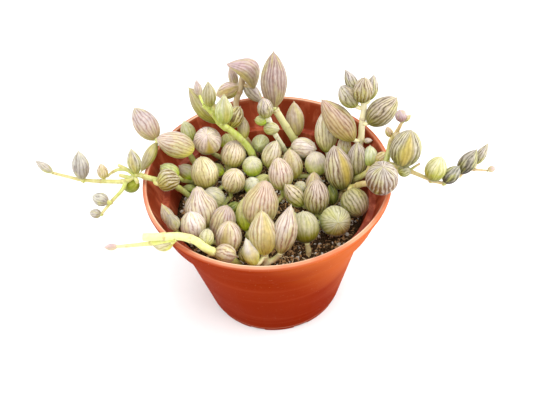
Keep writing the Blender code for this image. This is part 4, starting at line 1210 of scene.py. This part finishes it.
def pot_profile():
    """From the middle of the floor up the inside, over the lip and down the outside."""
    ledge = COLLAR_FOOT_HEIGHT + WALL
    lip_foot = POT_HEIGHT - LIP_HEIGHT
    corners = [
        (0, FLOOR),
        (wall_radius(FLOOR), FLOOR),
        (wall_radius(ledge), ledge),
        (COLLAR_FOOT_RADIUS - WALL, ledge),
        (RIM_RADIUS - LIP_THICKNESS, lip_foot),
        (RIM_RADIUS - LIP_THICKNESS, POT_HEIGHT),
        (RIM_RADIUS, POT_HEIGHT),
        (RIM_RADIUS, lip_foot),
        (RIM_RADIUS - LIP_STEP, lip_foot),
        (COLLAR_FOOT_RADIUS, COLLAR_FOOT_HEIGHT),
        (BODY_TOP_RADIUS, COLLAR_FOOT_HEIGHT),
        (BASE_RADIUS, FOOT_CHAMFER),
        (BASE_RADIUS - FOOT_CHAMFER, 0),
        (0, 0),
    ]
    turns = {1: FLOOR_BEVEL, 2: CORNER_BEVEL, 3: CORNER_BEVEL, 5: LIP_ROUND, 6: LIP_ROUND, 7: CORNER_BEVEL,
             8: CORNER_BEVEL / 2, 9: CORNER_BEVEL * 2, 10: CORNER_BEVEL, 11: CORNER_BEVEL}
    return rounded(corners, turns)


def applied(obj, modifier):
    """The object's mesh as this modifier leaves it; the modifier is then removed."""
    graph = bpy.context.evaluated_depsgraph_get()
    mesh = bpy.data.meshes.new_from_object(obj.evaluated_get(graph))
    obj.modifiers.remove(modifier)
    return mesh


def cut_away(obj, cutters):
    """Cuts these objects out of the object, then removes them."""
    collection = bpy.data.collections.new("cutters")
    bpy.context.scene.collection.children.link(collection)
    for cutter in cutters:
        collection.objects.link(cutter)
    modifier = obj.modifiers.new("cut", "BOOLEAN")
    modifier.operation = "DIFFERENCE"
    modifier.operand_type = "COLLECTION"
    modifier.collection = collection
    modifier.solver = "MANIFOLD"
    obj.data = applied(obj, modifier)
    for cutter in cutters:
        bpy.data.objects.remove(cutter, do_unlink=True)
    bpy.data.collections.remove(collection)


def notch_cutter(number):
    """A block that opens the foot between two of its feet."""
    angle = math.tau * (number + 0.5) / NOTCHES - math.pi / 2
    reach = NOTCH_DEPTH + CUTTER_OVERSHOOT
    shape = bmesh.new()
    bmesh.ops.create_cube(shape, size=1)
    bmesh.ops.scale(shape, vec=(reach, NOTCH_WIDTH, 2 * NOTCH_HEIGHT), verts=shape.verts)
    bmesh.ops.translate(shape, vec=(BASE_RADIUS - NOTCH_DEPTH + reach / 2, 0, 0), verts=shape.verts)
    bmesh.ops.rotate(shape, matrix=Matrix.Rotation(angle, 3, "Z"), verts=shape.verts)
    return bpy.data.objects.new("notch", mesh_of(shape, "notch"))


def drain_cutter(number):
    """An upright round bar through the floor where a drain hole goes."""
    angle = math.tau * number / DRAIN_HOLES
    shape = bmesh.new()
    bmesh.ops.create_cone(
        shape,
        cap_ends=True,
        segments=DRAIN_SIDES,
        radius1=DRAIN_RADIUS,
        radius2=DRAIN_RADIUS,
        depth=2 * (FLOOR + CUTTER_OVERSHOOT),
    )
    place = (math.cos(angle) * DRAIN_CIRCLE, math.sin(angle) * DRAIN_CIRCLE, 0)
    bmesh.ops.translate(shape, vec=place, verts=shape.verts)
    return bpy.data.objects.new("drain", mesh_of(shape, "drain"))


def mark_inside(mesh):
    """Keeps at each corner of the pot whether it is on the inner wall."""
    ledge = COLLAR_FOOT_HEIGHT + WALL
    marks = []
    for vert in mesh.vertices:
        radius = math.hypot(vert.co.x, vert.co.y)
        if vert.co.z < FLOOR / 2:
            marks.append(0.0)
            continue
        if vert.co.z < ledge - CORNER_BEVEL:
            middle = wall_radius(vert.co.z) + WALL / 2
        else:
            share = (vert.co.z - ledge) / (POT_HEIGHT - LIP_HEIGHT - ledge)
            flare = (RIM_RADIUS - COLLAR_FOOT_RADIUS) * min(share, 1.0)
            middle = COLLAR_FOOT_RADIUS + flare - LIP_THICKNESS / 2
        marks.append(1.0 if radius < middle else 0.0)
    mesh.attributes.new("inside", "FLOAT", "POINT").data.foreach_set("value", marks)


def soil_surface():
    """The bumpy top of the potting mix, down its wall and back under."""
    top_radius = wall_radius(SOIL_TOP) - FIT
    foot = FLOOR + FIT
    profile = [(top_radius * i / SOIL_RINGS, SOIL_TOP) for i in range(SOIL_RINGS + 1)] + [
        (wall_radius(foot + FLOOR_BEVEL) - FIT, foot + FLOOR_BEVEL),
        (wall_radius(foot) - FLOOR_BEVEL - FIT, foot),
        (0, foot),
    ]
    mesh = turned("potting_mix", profile, SOIL_SIDES)
    for vert in mesh.vertices:
        if vert.co.z > SOIL_TOP / 2:
            bump = noise.noise(vert.co / SOIL_BUMP_SIZE) * SOIL_BUMP
            lump = noise.noise(vert.co / SOIL_LUMP_SIZE) * SOIL_LUMP
            vert.co.z += bump + lump
    return mesh


def crumb_bed(reach):
    """The top of the potting mix alone, clear of the pot's wall by the reach of a crumb."""
    mesh = soil_surface()
    limit = wall_radius(SOIL_TOP) - FIT - reach
    shape = bmesh.new()
    shape.from_mesh(mesh)
    spare = [
        face
        for face in shape.faces
        if any(vert.co.z < SOIL_TOP / 2 or vert.co.xy.length > limit for vert in face.verts)
    ]
    bmesh.ops.delete(shape, geom=spare, context="FACES")
    shape.to_mesh(mesh)
    shape.free()
    return mesh


# Geometry nodes


def new_tree(name, inputs):
    """A tree with a geometry in and out and these named inputs: name, kind and default."""
    tree = bpy.data.node_groups.new(name, "GeometryNodeTree")
    tree.interface.new_socket("Geometry", in_out="INPUT", socket_type="NodeSocketGeometry")
    for label, kind, default in inputs:
        socket = tree.interface.new_socket(label, in_out="INPUT", socket_type=kind)
        if default is not None:
            socket.default_value = default
    tree.interface.new_socket("Geometry", in_out="OUTPUT", socket_type="NodeSocketGeometry")
    graph = Graph(tree)
    given = graph.node("NodeGroupInput").outputs
    return tree, graph, given


def finish_tree(graph, geometry, material):
    """Every tree ends in real faces with their material."""
    real = graph.node("GeometryNodeRealizeInstances", {"Geometry": geometry}).outputs[0]
    coated = graph.node("GeometryNodeSetMaterial", {"Geometry": real, "Material": material}).outputs[0]
    graph.node("NodeGroupOutput", {0: coated})


def grown(obj, tree, values):
    """The mesh that the tree makes from the object; the object is then removed."""
    modifier = obj.modifiers.new("grow", "NODES")
    modifier.node_group = tree
    for item in tree.interface.items_tree:
        if item.in_out == "INPUT" and item.name in values:
            modifier[item.identifier] = values[item.name]
    obj.update_tag()
    mesh = applied(obj, modifier)
    bpy.data.objects.remove(obj, do_unlink=True)
    return mesh


def stored(graph, geometry, name, value, kind="FLOAT"):
    """The geometry with this value kept under this name at each of its points."""
    return graph.node(
        "GeometryNodeStoreNamedAttribute",
        {"Geometry": geometry, "Name": name, "Value": value},
        data_type=kind,
    ).outputs[0]


def stem_tree():
    """Sweeps a round section along each line, thicker at its joints, and keeps its colours."""
    tree, graph, given = new_tree("stem_sweep", [
        ("Sides", "NodeSocketInt", 12),
        ("Joint Spacing", "NodeSocketFloat", 0.008),
        ("Swelling", "NodeSocketFloat", 0.15),
        ("Root Green", "NodeSocketColor", None),
        ("End Green", "NodeSocketColor", None),
        ("Material", "NodeSocketMaterial", None),
    ])
    line = graph.node("GeometryNodeSplineParameter").outputs
    swing = graph.math("DIVIDE", line["Length"], given["Joint Spacing"])
    swing = graph.math("COSINE", graph.product(swing, math.pi))
    joint = graph.math("POWER", graph.product(swing, swing), JOINT_SHARPNESS)
    thick = graph.math("MULTIPLY_ADD", joint, given["Swelling"], 1.0)
    radius = graph.product(graph.node("GeometryNodeInputRadius").outputs[0], thick)
    green = graph.mixed(line["Factor"], given["Root Green"], given["End Green"])
    lines = stored(graph, given["Geometry"], "scar", joint)
    lines = stored(graph, lines, "stem_tint", green, "FLOAT_COLOR")
    circle = {"Resolution": given["Sides"], "Radius": MM}
    section = graph.node("GeometryNodeCurvePrimitiveCircle", circle).outputs[0]
    swept = graph.node(
        "GeometryNodeCurveToMesh",
        {"Curve": lines, "Profile Curve": section, "Scale": radius, "Fill Caps": True},
    ).outputs[0]
    smooth = graph.node("GeometryNodeSetShadeSmooth", {"Geometry": swept}).outputs[0]
    finish_tree(graph, smooth, given["Material"])
    return tree


def crumb_tree():
    """Strews small rough grains over a surface, each turned, stretched and shaded by chance."""
    tree, graph, given = new_tree("crumb_scatter", [
        ("Density", "NodeSocketFloat", 100000.0),
        ("Smallest", "NodeSocketFloat", 0.0003),
        ("Largest", "NodeSocketFloat", 0.001),
        ("Slimness", "NodeSocketFloat", 0.7),
        ("Tilt", "NodeSocketFloat", math.pi),
        ("Roughness", "NodeSocketFloat", 0.0003),
        ("Seed", "NodeSocketInt", SEED),
        ("Material", "NodeSocketMaterial", None),
    ])
    points = graph.node(
        "GeometryNodeDistributePointsOnFaces",
        {"Mesh": given["Geometry"], "Density": given["Density"], "Seed": given["Seed"]},
    ).outputs["Points"]
    shade = graph.node("FunctionNodeRandomValue", {"Seed": given["Seed"]}).outputs[1]
    points = stored(graph, points, "shade", shade)
    seeds = itertools.count(FIRST_GRAIN_SEED)

    def between(low, high):
        """A number by chance for each grain, from a seed of its own."""
        return graph.node("FunctionNodeRandomValue", {2: low, 3: high, "Seed": next(seeds)}).outputs[1]

    back = graph.product(given["Tilt"], -1.0)
    turn = graph.node("ShaderNodeCombineXYZ", {
        "X": between(back, given["Tilt"]),
        "Y": between(back, given["Tilt"]),
        "Z": between(0.0, math.tau),
    }).outputs[0]
    size = between(given["Smallest"], given["Largest"])
    slim = graph.product(size, given["Slimness"])
    scale = graph.node("ShaderNodeCombineXYZ", {
        "X": size,
        "Y": graph.product(slim, between(*GRAIN_WIDTHS)),
        "Z": graph.product(slim, between(*GRAIN_HEIGHTS)),
    }).outputs[0]
    grain = graph.node("GeometryNodeMeshIcoSphere", {"Radius": 0.5, "Subdivisions": 1}).outputs[0]
    strewn = graph.node("GeometryNodeInstanceOnPoints", {
        "Points": points, "Instance": grain, "Rotation": turn, "Scale": scale,
    }).outputs[0]
    strewn = graph.node("GeometryNodeRealizeInstances", {"Geometry": strewn}).outputs[0]
    rough = graph.node("ShaderNodeTexNoise", {"Scale": GRAIN_BUMPS, "Detail": 1.0}).outputs["Color"]
    centred = graph.vector("SUBTRACT", {0: rough, 1: (0.5, 0.5, 0.5)})
    shift = graph.vector("SCALE", {0: centred, "Scale": given["Roughness"]})
    strewn = graph.node("GeometryNodeSetPosition", {"Geometry": strewn, "Offset": shift}).outputs[0]
    finish_tree(graph, strewn, given["Material"])
    return tree


# The leaves


def taper(slimness, least, growth, most):
    """The power that draws in one end of a leaf whose length is slimness times its width."""
    return min(least + growth * max(slimness - 1, 0), most)


def fullness(share, slimness):
    """How wide a leaf is at this share of its length from the stalk, as part of its width."""
    if share < LEAF_WIDEST:
        gone = (LEAF_WIDEST - share) / LEAF_WIDEST
        return (1 - gone**2) ** taper(slimness, *FOOT_TAPER)
    gone = (share - LEAF_WIDEST) / (1 - LEAF_WIDEST)
    return (1 - gone**2) ** taper(slimness, *TIP_TAPER)


def bow_side(span):
    """The upward direction square to the leaf's length."""
    up = Vector((0, 0, 1))
    return (up - span * up.dot(span) / span.length_squared).normalized()


def front_side(leaf):
    """The direction square to the leaf that faces the camera, or up where the leaf points at it."""
    along = (leaf.tip - leaf.foot).normalized()
    sight = (EYE - (leaf.foot + leaf.tip) / 2).normalized()
    square = sight - along * sight.dot(along)
    return square.normalized() if square.length > POINTS_AT_CAMERA else bow_side(along)


def leaf_stations(leaf, rows):
    """Shares of the leaf's length with their radii, closer together at its ends, and its thorn's end."""
    length = (leaf.tip - leaf.foot).length
    slimness = length / leaf.width
    neck = leaf.neck if slimness > NECK_SLIMNESS else 0.0
    thorn = min(THORN_RADIUS, leaf.width * THORN_LIMIT)
    stations = []
    for i in range(1, rows):
        share = (1 - math.cos(math.pi * i / rows)) / 2
        drawn_in = 1 - neck * math.exp(-(((share - NECK_PLACE) / NECK_LENGTH) ** 2))
        radius = leaf.width / 2 * fullness(share, slimness) * drawn_in
        if share < LEAF_WIDEST or radius > thorn:
            stations.append((share, radius))
    stations.append((1.0, thorn))
    stations.append((1.0 + THORN_LENGTH / 2 / length, thorn * THORN_WAIST))
    return stations, 1.0 + THORN_LENGTH / length


class LeafDraft:
    """Corners and faces gathered leaf by leaf, with what the skin keeps at each corner."""

    def __init__(self):
        self.places = []
        self.faces = []
        self.ways = []
        self.traits = []
        self.shares = []

    def corner(self, place, share, trait):
        self.places.append(place * MM)
        self.shares.append(share)
        self.traits.append(trait)
        return len(self.places) - 1

    def face(self, corners, ways):
        self.faces.append(corners)
        self.ways.extend(ways)

    def mesh(self, name):
        mesh = bpy.data.meshes.new(name)
        mesh.from_pydata(self.places, [], self.faces)
        uv = mesh.uv_layers.new(name="leaf_uv")
        uv.data.foreach_set("uv", [value for way in self.ways for value in way])
        skin = []
        for vert, share, trait in zip(mesh.vertices, self.shares, self.traits):
            # Partly painted light and shade: faces that look up get the lighter tip colours and faces that
            # look down the darker foot colours
            sun = SUN_BASE + SUN_FROM_ABOVE * vert.normal.z + SUN_TOWARDS_TIP * (share - 0.5)
            skin.extend((*skin_at(trait.look, sun, trait.cast), 1.0))
        stripe = [value for trait in self.traits for value in (*trait.look.stripe, trait.look.strength)]
        for label, kind, field, values in (
            ("skin_tint", "FLOAT_COLOR", "color", skin),
            ("stripe_tint", "FLOAT_COLOR", "color", stripe),
            ("stripe_count", "FLOAT", "value", [trait.count for trait in self.traits]),
            ("window_share", "FLOAT", "value", [trait.window for trait in self.traits]),
            ("leaf_chance", "FLOAT", "value", [trait.chance for trait in self.traits]),
        ):
            mesh.attributes.new(label, kind, "POINT").data.foreach_set(field, values)
        return mesh


def blended(first, second, share):
    return tuple(a + (b - a) * share for a, b in zip(first, second))


def skin_at(look, sun, cast):
    """The skin's colour from its shaded foot through its body to its sunny tip, with the leaf's own cast."""
    sun = min(max(sun, 0.0), 1.0)
    if sun < 0.5:
        colour = blended(look.foot, look.body, sun * 2)
    else:
        colour = blended(look.body, look.tip, sun * 2 - 1)
    return tuple(min(value * shift, 1.0) for value, shift in zip(colour, cast))


def add_leaf(draft, leaf, settings, chance):
    """One plump leaf, a little lumpy, sunk along its window and drawn out to a thorn."""
    span = leaf.tip - leaf.foot
    along = span.normalized()
    front = front_side(leaf)
    side = along.cross(front)
    bow = bow_side(span)
    usual = USUAL_WINDOW + chance.uniform(-WINDOW_CHANCE, WINDOW_CHANCE)
    start = math.radians(usual if leaf.window is None else leaf.window)
    spacing = settings.stripe_spacing / MM
    count = max(round(math.pi * leaf.width / spacing), FEWEST_STRIPES)
    cast = [1 + chance.uniform(-settings.spread, settings.spread) for channel in range(3)]
    trait = Trait(LOOKS[leaf.look], cast, float(count), leaf.clear, chance.random())
    stations, end = leaf_stations(leaf, settings.rows)
    foot = draft.corner(leaf.foot, 0.0, trait)
    rings = []
    for share, radius in stations:
        reached = min(share, 1.0)
        middle = leaf.foot + span * share + bow * leaf.bow * 4 * reached * (1 - reached)
        ring = []
        for i in range(settings.sides):
            way = i / settings.sides
            turn = (way - 0.5) * math.tau + start
            out = front * math.cos(turn) + side * math.sin(turn)
            groove = math.exp(-(((way - 0.5) / settings.window_width) ** 2)) * GROOVE * trait.window
            spot = (leaf.foot + out * leaf.width + along * share * LUMP_CHANGE) / LUMP_SIZE
            place = middle + out * radius * (1 - groove + noise.noise(spot) * LUMP)
            ring.append(draft.corner(place, reached, trait))
        rings.append((share, ring))
    tip = draft.corner(leaf.foot + span * end, 1.0, trait)
    close_leaf(draft, foot, rings, tip, settings.sides)


def close_leaf(draft, foot, rings, tip, sides):
    """The faces between the leaf's rings, and round its foot and tip."""
    for i in range(sides):
        near = i / sides
        far = (i + 1) / sides
        ahead = (i + 1) % sides
        share, ring = rings[0]
        draft.face((foot, ring[ahead], ring[i]), (((near + far) / 2, 0), (far, share), (near, share)))
        for (low, inner), (high, outer) in zip(rings, rings[1:]):
            low = min(low, 1)
            high = min(high, 1)
            draft.face((inner[i], inner[ahead], outer[ahead], outer[i]),
                       ((near, low), (far, low), (far, high), (near, high)))
        share, ring = rings[-1]
        draft.face((ring[i], ring[ahead], tip), ((near, 1), (far, 1), ((near + far) / 2, 1)))


# The stems


def smooth_path(path, steps):
    """A Catmull-Rom line through the points, with this many steps to a stretch."""
    ends = [2 * path[0] - path[1], *path, 2 * path[-1] - path[-2]]
    points = []
    for a, b, c, d in zip(ends, ends[1:], ends[2:], ends[3:]):
        for i in range(steps):
            t = i / steps
            points.append(
                0.5 * (2 * b + (c - a) * t + (2 * a - 5 * b + 4 * c - d) * t**2
                       + (3 * b - a - 3 * c + d) * t**3)
            )
    return points + [path[-1]]


def add_line(curve, points, start_radius, end_radius):
    spline = curve.splines.new("POLY")
    spline.points.add(len(points) - 1)
    for i, point in enumerate(points):
        share = i / (len(points) - 1)
        spline.points[i].co = (*(point * MM), 1)
        spline.points[i].radius = start_radius + (end_radius - start_radius) * share


def stem_lines(name, strand):
    """A curve object with a line for each stem and for the stalk of each leaf."""
    curve = bpy.data.curves.new(name, "CURVE")
    curve.dimensions = "3D"
    stems = [smooth_path(stem.path, PATH_STEPS) for stem in strand.stems]
    places = [point for line in stems for point in line]
    root = strand.stems[0].path[0] - Vector((0, 0, ROOT_DEPTH))
    for stem, line in zip(strand.stems, [[root, *stems[0]], *stems[1:]]):
        add_line(curve, line, stem.start_radius, stem.end_radius)
    for leaf in strand.leaves:
        start = min(places, key=lambda point: (point - leaf.foot).length)
        along = (leaf.tip - leaf.foot).normalized()
        end = leaf.foot + along * STALK_SUNK
        middle = leaf.foot * (1 - STALK_BEND) + start * STALK_BEND - along * STALK_SAG
        points = smooth_path([start, middle, end], PATH_STEPS // 2)
        thickest = leaf.width * STALK_SHARE
        add_line(curve, points, min(STALK_RADIUS, thickest), min(STALK_END_RADIUS, thickest))
    return placed(name, curve)


# The operators


class WATERMELONS_OT_pot(bpy.types.Operator):
    """Turn the pot, open its foot notches and drain holes, and give it its plastic"""

    bl_idname = "watermelons.pot"
    bl_label = "Nursery Pot"

    def execute(self, context):
        settings = context.scene.watermelons_pot
        pot = placed("pot_shell", turned("pot_shell", pot_profile(), settings.sides))
        notches = [notch_cutter(number) for number in range(NOTCHES)]
        drains = [drain_cutter(number) for number in range(DRAIN_HOLES)]
        cut_away(pot, notches + drains)
        mark_inside(pot.data)
        outside = pot_plastic("pot_outside", settings, OUTSIDE_GLOSS)
        inside = pot_plastic("pot_inside", settings, INSIDE_GLOSS)
        dressed(pot, outside, inside)
        marks = pot.data.attributes["inside"].data
        for face in pot.data.polygons:
            face.material_index = int(all(marks[i].value > 0.5 for i in face.vertices))
        pot.data.set_sharp_from_angle(angle=SHARP_ANGLE)
        belongs(pot, "pot", "pot")
        return {"FINISHED"}


class WATERMELONS_OT_soil(bpy.types.Operator):
    """Fill the pot with fine dark potting mix"""

    bl_idname = "watermelons.soil"
    bl_label = "Potting Mix"

    def execute(self, context):
        settings = context.scene.watermelons_soil
        soil = dressed(placed("potting_mix", soil_surface()), peat(settings))
        belongs(soil, "soil", "soil")
        return {"FINISHED"}


class WATERMELONS_OT_crumbs(bpy.types.Operator):
    """Strew bark crumbs, straw-coloured fibres and white perlite over the potting mix"""

    bl_idname = "watermelons.crumbs"
    bl_label = "Bark, Fibres and Perlite"

    def execute(self, context):
        settings = context.scene.watermelons_soil
        tree = crumb_tree()
        bark = settings.bark_colour[:]
        perlite = settings.perlite_colour[:]
        shades = {
            "bark": ([value * DARK_BARK for value in bark], bark),
            "fibre": (bark, settings.fibre_colour[:]),
            "perlite": ([value * DARK_PERLITE for value in perlite], perlite),
        }
        for number, crumb in enumerate(CRUMBS):
            material = crumb_surface(crumb.kind, *shades[crumb.kind], crumb.roughness)
            largest = getattr(settings, crumb.kind + "_largest")
            mesh = grown(placed(crumb.piece + "_bed", crumb_bed(largest / 2)), tree, {
                "Density": float(getattr(settings, crumb.kind + "_count")),
                "Smallest": getattr(settings, crumb.kind + "_smallest"),
                "Largest": largest,
                "Slimness": crumb.slimness,
                "Tilt": crumb.tilt,
                "Roughness": GRAIN_ROUGHNESS,
                "Seed": SEED + number,
                "Material": material,
            })
            belongs(dressed(placed(crumb.piece, mesh), material, smooth=False), "soil")
        return {"FINISHED"}


class WATERMELONS_OT_stems(bpy.types.Operator):
    """Grow the stems and stalks of every strand"""

    bl_idname = "watermelons.stems"
    bl_label = "Stems and Stalks"

    def execute(self, context):
        settings = context.scene.watermelons_stems
        tree = stem_tree()
        skin = stem_skin(settings)
        for name, strand in STRANDS.items():
            greens = STEM_GREENS.get(name, USUAL_GREENS)
            mesh = grown(stem_lines(name + "_lines", strand), tree, {
                "Sides": settings.sides,
                "Joint Spacing": settings.joint_spacing,
                "Swelling": settings.swelling,
                "Root Green": (*greens.root, 1.0),
                "End Green": (*greens.end, 1.0),
                "Material": skin,
            })
            belongs(dressed(placed(name + "_stems", mesh), skin), "plant", name)
        return {"FINISHED"}


class WATERMELONS_OT_leaves(bpy.types.Operator):
    """Put the striped leaves on every strand"""

    bl_idname = "watermelons.leaves"
    bl_label = "Striped Leaves"

    def execute(self, context):
        settings = context.scene.watermelons_leaves
        skin = leaf_skin(settings)
        chance = random.Random(SEED)
        for name, strand in STRANDS.items():
            draft = LeafDraft()
            for leaf in strand.leaves:
                add_leaf(draft, leaf, settings, chance)
            leaves = placed(name + "_leaves", draft.mesh(name + "_leaves"))
            belongs(dressed(leaves, skin), "plant", name)
        return {"FINISHED"}


def soft_light(lamp, power):
    """A square light at its place, turned to the plant."""
    light = bpy.data.lights.new(lamp.name + "_light", "AREA")
    light.energy = power
    light.size = lamp.size
    made = placed(lamp.name + "_light", light)
    made.location = lamp.place
    made.rotation_euler = (VIEW_AIM * MM - Vector(lamp.place)).to_track_quat("-Z", "Y").to_euler()


def place_camera():
    camera = bpy.data.cameras.new("camera")
    camera.sensor_fit = "HORIZONTAL"
    camera.sensor_width = SENSOR
    camera.lens = FOCAL_PIXELS / PHOTO_WIDTH * SENSOR
    camera.clip_start = CLIP_START
    made = placed("camera", camera)
    turn = Matrix((SIGHT_RIGHT, SIGHT_UP, -SIGHT_FORWARD)).transposed()
    made.matrix_world = Matrix.Translation(EYE * MM) @ turn.to_4x4()
    bpy.context.scene.camera = made


class WATERMELONS_OT_stage(bpy.types.Operator):
    """Lay the pale floor, hang the soft lights and stand the camera"""

    bl_idname = "watermelons.stage"
    bl_label = "Floor, Light and Camera"

    def execute(self, context):
        settings = context.scene.watermelons_stage
        mesh = bpy.data.meshes.new("floor")
        half = FLOOR_SIZE / 2
        corners = [(-half, -half, 0), (half, -half, 0), (half, half, 0), (-half, half, 0)]
        mesh.from_pydata(corners, [], [(0, 1, 2, 3)])
        dressed(placed("floor", mesh), floor_paper(settings), smooth=False)
        world = bpy.data.worlds.new("studio")
        world.use_nodes = True
        background = world.node_tree.nodes["Background"]
        background.inputs["Color"].default_value = (1.0, 1.0, 1.0, 1.0)
        background.inputs["Strength"].default_value = settings.sky_strength
        context.scene.world = world
        context.scene.view_settings.view_transform = "Standard"
        for lamp in LAMPS:
            soft_light(lamp, getattr(settings, lamp.name + "_power"))
        place_camera()
        return {"FINISHED"}


class WATERMELONS_PT_build(bpy.types.Panel):
    """The potted plant's settings and the steps that build it"""

    bl_label = "String of Watermelons"
    bl_idname = "WATERMELONS_PT_build"
    bl_space_type = "VIEW_3D"
    bl_region_type = "UI"
    bl_category = "Watermelons"

    def draw(self, context):
        for name, operators in STEPS.items():
            box = self.layout.box()
            settings = getattr(context.scene, name)
            for key in settings.__annotations__:
                box.prop(settings, key)
            for operator in operators:
                box.operator(operator.bl_idname)


SETTINGS = {
    "watermelons_pot": WATERMELONS_PotSettings,
    "watermelons_soil": WATERMELONS_SoilSettings,
    "watermelons_stems": WATERMELONS_StemSettings,
    "watermelons_leaves": WATERMELONS_LeafSettings,
    "watermelons_stage": WATERMELONS_StageSettings,
}
STEPS = {
    "watermelons_pot": [WATERMELONS_OT_pot],
    "watermelons_soil": [WATERMELONS_OT_soil, WATERMELONS_OT_crumbs],
    "watermelons_stems": [WATERMELONS_OT_stems],
    "watermelons_leaves": [WATERMELONS_OT_leaves],
    "watermelons_stage": [WATERMELONS_OT_stage],
}
CLASSES = [*SETTINGS.values(), *(step for steps in STEPS.values() for step in steps), WATERMELONS_PT_build]


def register():
    for kind in CLASSES:
        bpy.utils.register_class(kind)
    for name, kind in SETTINGS.items():
        setattr(bpy.types.Scene, name, PointerProperty(type=kind))


def unregister():
    for name in SETTINGS:
        delattr(bpy.types.Scene, name)
    for kind in reversed(CLASSES):
        bpy.utils.unregister_class(kind)


def main():
    register()
    bpy.ops.watermelons.stage()
    bpy.ops.watermelons.pot()
    bpy.ops.watermelons.soil()
    bpy.ops.watermelons.crumbs()
    bpy.ops.watermelons.stems()
    bpy.ops.watermelons.leaves()


if __name__ == "__main__":
    main()
